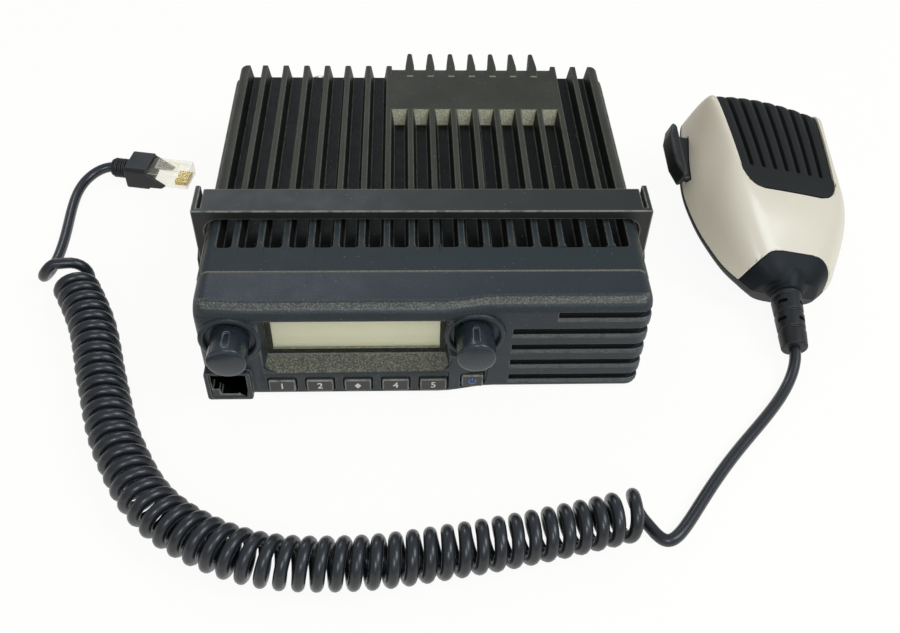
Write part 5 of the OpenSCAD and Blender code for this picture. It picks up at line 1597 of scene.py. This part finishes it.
@dataclass
class FrontPanel:
    """Front panel with its knobs, keys, window, socket and loudspeaker slots."""

    half_w: float = 79.5
    side_r: float = 5.0
    front_y: float = -75.0
    joint_y: float = -56.5
    left_drop: float = 1.0
    right_drop: float = 2.5
    left_turn: float = -60.0
    right_turn: float = 5.0
    top: float = 44.8
    # Facing angle and spread, in degrees, of the painted highlight on the upper edge.
    rub_angle: float = 62.0
    rub_width: float = 16.0
    key_count: int = 5
    key_first: float = -51.6
    key_pitch: float = 13.65
    key_z: float = 6.3
    key_out: float = 1.0
    key_inset: float = 0.22
    letter_size: float = 4.2
    letter_half_depth: float = 0.04
    letter_weight: float = 0.05
    knob_z: float = 29.5
    knob_r: float = 6.8
    knob_l: float = 11.6
    dish_d: float = 1.4
    dish_r: float = 10.6
    turn_sides: int = 96
    volume_x: float = -67.5
    channel_x: float = 17.3
    lens_x: float = -24.3
    lens_z: float = 28.6
    lens_w: float = 63.0
    lens_h: float = 18.0
    ledge_h: float = 6.5
    low_corner_r: float = 4.5
    high_corner_r: float = 2.6
    slot_top: float = 38.0
    slot_pitch: float = 8.1
    slot_h: float = 4.2
    slot_short: float = 33.5
    slot_long: float = 48.8

    def face_y(self, x: float) -> float:
        """Return where the panel's front lies at x."""
        return (self.front_y + self.left_drop * eased((self.left_turn - x) / 18)
                + self.right_drop * eased((x - self.right_turn) / 20))

    def ledge_mark(self, spot: Vector, way: Vector) -> float:
        """Return 1 on the ledge below the window, which painted light lightens."""
        low = self.lens_z - self.lens_h / 2 - self.ledge_h
        if way.z < 0.2 or way.y > -0.2 or spot.z > self.top - 8:
            return 0.0
        across = abs(spot.x - self.lens_x) < self.lens_w / 2 + 2.5
        return 1.0 if across and low - 1 < spot.z < low + self.ledge_h + 0.5 else 0.0

    def rubbed_mark(self, spot: Vector, way: Vector) -> float:
        """Return how strongly the painted highlight lightens a face of the rounded upper edge."""
        if spot.z < self.top - 8 or way.y > -0.08 or way.z < 0.3:
            return 0.0
        off = (math.degrees(math.asin(min(1.0, way.z))) - self.rub_angle) / self.rub_width
        return math.exp(-off * off)

    def sill_mark(self, spot: Vector, way: Vector) -> float:
        """Return 1 on the lower bar of the display's frame."""
        return 1.0 if spot.z < self.lens_z - self.lens_h / 2 + 1.6 else 0.0

    def socket_mark(self, spot: Vector, way: Vector) -> float:
        """Return 1 inside the microphone socket, which painted shade darkens."""
        return 1.0 if spot.y > self.front_y - 0.5 and way.y < 0.5 else 0.0

    def joint_mark(self, spot: Vector, way: Vector) -> float:
        """Return how much dust lies along the joint with the chassis."""
        return 0.5 if spot.z > self.top - 1 and abs(spot.y - self.joint_y) < 0.5 else 0.0

    def build(self, bench: Bench) -> None:
        """Make the panel's pieces."""
        panel = bench.softened("front_panel", 0.35, BLUNT_ANGLE)
        # Painted light on the ledge below the window, which faces up towards the light.
        mark(panel, "ledge", self.ledge_mark)
        # Painted highlight along the rounded upper edge, strongest at one facing angle.
        mark(panel, "rubbed", self.rubbed_mark)
        mark(panel, "dusty", self.joint_mark)
        bench.replace("front_panel", panel, Finishes.panel_plastic)
        socket = bench.softened("mic_jack", 0.4)
        # Painted shade inside the socket.
        mark(socket, "deep", self.socket_mark)
        bench.replace("mic_jack", socket, Finishes.socket_plastic)
        self.build_window(bench)
        self.build_slots(bench)
        self.build_keys(bench)
        for node, x in (("volume_knob", self.volume_x), ("channel_knob", self.channel_x)):
            self.build_knob(bench, node, x)
            self.build_rim(bench, node + "_rim", x)

    def build_window(self, bench: Bench) -> None:
        """Make the display's frame and round the corners of the window's recess."""
        frame = bench.softened("display_frame", 0.15)
        mark(frame, "sill", self.sill_mark)
        bench.replace("display_frame", frame, Finishes.black_trim)
        half = self.lens_w / 2 + 2
        low, high = self.lens_z - self.lens_h / 2 - self.ledge_h, self.lens_z + self.lens_h / 2 + 1.6
        fillers = []
        for z, up, size in ((low, 1, self.low_corner_r), (high, -1, self.high_corner_r)):
            turns = [math.pi * k / 16 for k in range(8, -1, -1)]
            arc = [(size * (1 - math.cos(t)), size * (1 - math.sin(t))) for t in turns]
            outline = [(-0.4, -0.4), (size, -0.4)] + arc + [(-0.4, size)]
            for side in (1, -1):
                spots = [(self.lens_x - side * (half - a), z + up * b) for a, b in outline]
                fillers.append(upright("corner", spots, self.front_y + 0.02, self.front_y + 2.4))
        bench.put("window_corners", shaded(merged(fillers, "window_corners")), Finishes.panel_plastic)

    def build_slots(self, bench: Bench) -> None:
        """Give each slot the sloped ledge in its lower half."""
        face = self.front_y + self.right_drop
        low = -self.slot_h / 2
        section = [(face + 0.1, low), (face + 1.0, low), (face + 1.0, low + 0.85), (face + 0.7, low + 0.85),
                   (face + 0.1, low + 0.3)]
        r = self.side_r
        corner = [(self.half_w - r + r * math.sin(math.radians(a)), r - r * math.cos(math.radians(a)))
                  for a in range(0, 61, 10)]
        for name, length, first, count in (
                ("short_slot", self.slot_short, 0, 1), ("long_slots", self.slot_long, 1, 4)):
            z = self.slot_top - first * self.slot_pitch
            ledge = skin(name, [[(x, y + back, z + up) for y, up in section]
                                for x, back in [(self.half_w - length, 0.0)] + corner])
            row = repeated(name, ledge, count, (0, 0, -self.slot_pitch), Finishes.panel_plastic)
            made = soften(row, 0.2)
            # The slot ledges are lightened as painted light where they catch the light.
            mark(made, "rubbed", lambda spot, way: 0.4)
            bench.put(name + "_ledge", made, Finishes.panel_plastic)

    def build_keys(self, bench: Bench) -> None:
        """Make the keys with a gap round each, and their marks."""
        keys = [("key_%d" % (i + 1), self.key_first + i * self.key_pitch) for i in range(self.key_count)]
        keys.append(("power_key", self.channel_x))
        for node, x in keys:
            cap = welded(bench.nodes[node].data.copy())
            limit = (self.face_y(x) + 1.6) * MM
            for point in cap.vertices:
                if point.co.y < limit:
                    point.co.x -= math.copysign(self.key_inset * MM, point.co.x - x * MM)
                    point.co.z -= math.copysign(self.key_inset * MM, point.co.z - self.key_z * MM)
            bench.replace(node, soften(cap, 0.5), Finishes.key_rubber)
            made = self.key_mark(node, x, self.face_y(x) - self.key_out)
            finish = Finishes.mark_blue if node == "power_key" else Finishes.mark_white
            bench.put(node + "_mark", made, finish, body=bench.bodies[node])

    def key_mark(self, node: str, x: float, front: float) -> Mesh:
        """Return the plain mark on a key.

        Args:
            node: The key.
            x: The key's middle.
            front: Where the key's front lies.

        Returns:
            A thin raised mark.
        """
        if node == "power_key":
            ring = [(r * math.sin(math.radians(a)), r * math.cos(math.radians(a)))
                    for r, turns in ((1.5, range(40, 321, 20)), (1.1, range(320, 39, -20))) for a in turns]
            outlines = [ring, rectangle(-0.2, 0.2, 0.3, 1.8)]
        elif node == "key_3":
            outlines = [[(0, -1.5), (1.2, 0), (0, 1.5), (-1.2, 0)]]
        else:
            mesh = lettering(node, node[-1], self.letter_size, self.letter_half_depth, self.letter_weight)
            mesh.transform(shift(x, front - 0.01, self.key_z) @ rotation(90, "X"))
            return mesh
        places = [[(x + a, self.key_z + b) for a, b in outline] for outline in outlines]
        marks = [upright("mark", place, front - 0.05, front + 0.1) for place in places]
        return merged(marks, node + "_mark")

    def on_knob(self, mesh: Mesh, x: float, y: float) -> Mesh:
        """Turn a mesh that stands on the Z axis to the front and put it on a knob's axis."""
        mesh.transform(shift(x, y, self.knob_z) @ rotation(90, "X"))
        return mesh

    def build_rim(self, bench: Bench, name: str, x: float) -> None:
        """Make the raised rim round the well of a knob whose axis lies at x."""
        r, sides = self.dish_r, self.turn_sides
        points = [(r - 2.0, -1.3), (r - 1.8, 0.1), (r - 1.4, 0.55), (r - 0.8, 0.6), (r - 0.2, 0.35),
                  (r + 0.3, -0.1), (r + 0.3, -1.3)]
        ring = [(a * c, a * s, z) for c, s in circle(sides) for a, z in points]
        wide = len(points)
        faces = [(k * wide + j, k * wide + (j + 1) % wide, (k + 1) % sides * wide + (j + 1) % wide,
                  (k + 1) % sides * wide + j) for k in range(sides) for j in range(wide)]
        mesh = self.on_knob(mesh_from(name, ring, faces), x, self.face_y(x))
        bench.put(name, shaded(mesh, RIM_ANGLE), Finishes.panel_plastic)

    def build_knob(self, bench: Bench, node: str, x: float) -> None:
        """Make the knob that replaces a node and whose axis lies at x."""
        r, length = self.knob_r, self.knob_l
        profile = [(0, 0), (r - 0.3, 0), (r, 0.3), (r, 1.4), (r - 0.2, 1.7), (r + 0.1, length - 1.2),
                   (r + 0.05, length - 0.7), (r - 0.2, length - 0.3), (r - 0.7, length)]
        profile += [((r - 0.7) * (1 - k / 8), length + 0.7 * (1 - (1 - k / 8) ** 2)) for k in range(1, 9)]
        knob = lathe(node, profile, self.turn_sides)
        outline = rounded(rectangle(-1.1, 1.1, 2.6, length - 2.0), [1.1] * 4)
        groove = prism("groove", outline, r - 0.95, r + 2)
        groove.transform(rotation(90, "X"))
        groove.transform(Matrix.Scale(-1, 4, (0, 1, 0)))
        groove.flip_normals()
        knob = soften(combine(knob, groove, Join.CUT), 0.15, BLUNT_ANGLE)
        well_y = self.face_y(x) + self.dish_d - 0.5
        bench.replace(node, self.on_knob(knob, x, well_y), Finishes.knob_plastic)


@dataclass
class InnerParts:
    """Pieces that stay as they are and get their finish."""

    def build(self, bench: Bench) -> None:
        """Finish every node that no piece replaces."""
        for node, piece in bench.nodes.items():
            if not piece.hide_render:
                Finishes[bench.slots[node]].cover(piece.data)
                LOG.info("%s finished", node)


def main() -> None:
    """Load the frame and build every sub-assembly."""
    logging.basicConfig(level=logging.INFO, format="%(name)s %(message)s")
    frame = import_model()
    bench = Bench(frame)
    PhotoCamera().build()
    Studio().build()
    microphone = HandMicrophone()
    plug = ModularPlug()
    CurlyCord().build(bench, microphone.relief_end(), plug.cord_end(), plug.build(bench))
    microphone.build(bench)
    RadioCase().build(bench)
    FrontPanel().build(bench)
    InnerParts().build(bench)


if __name__ == "__main__":
    main()
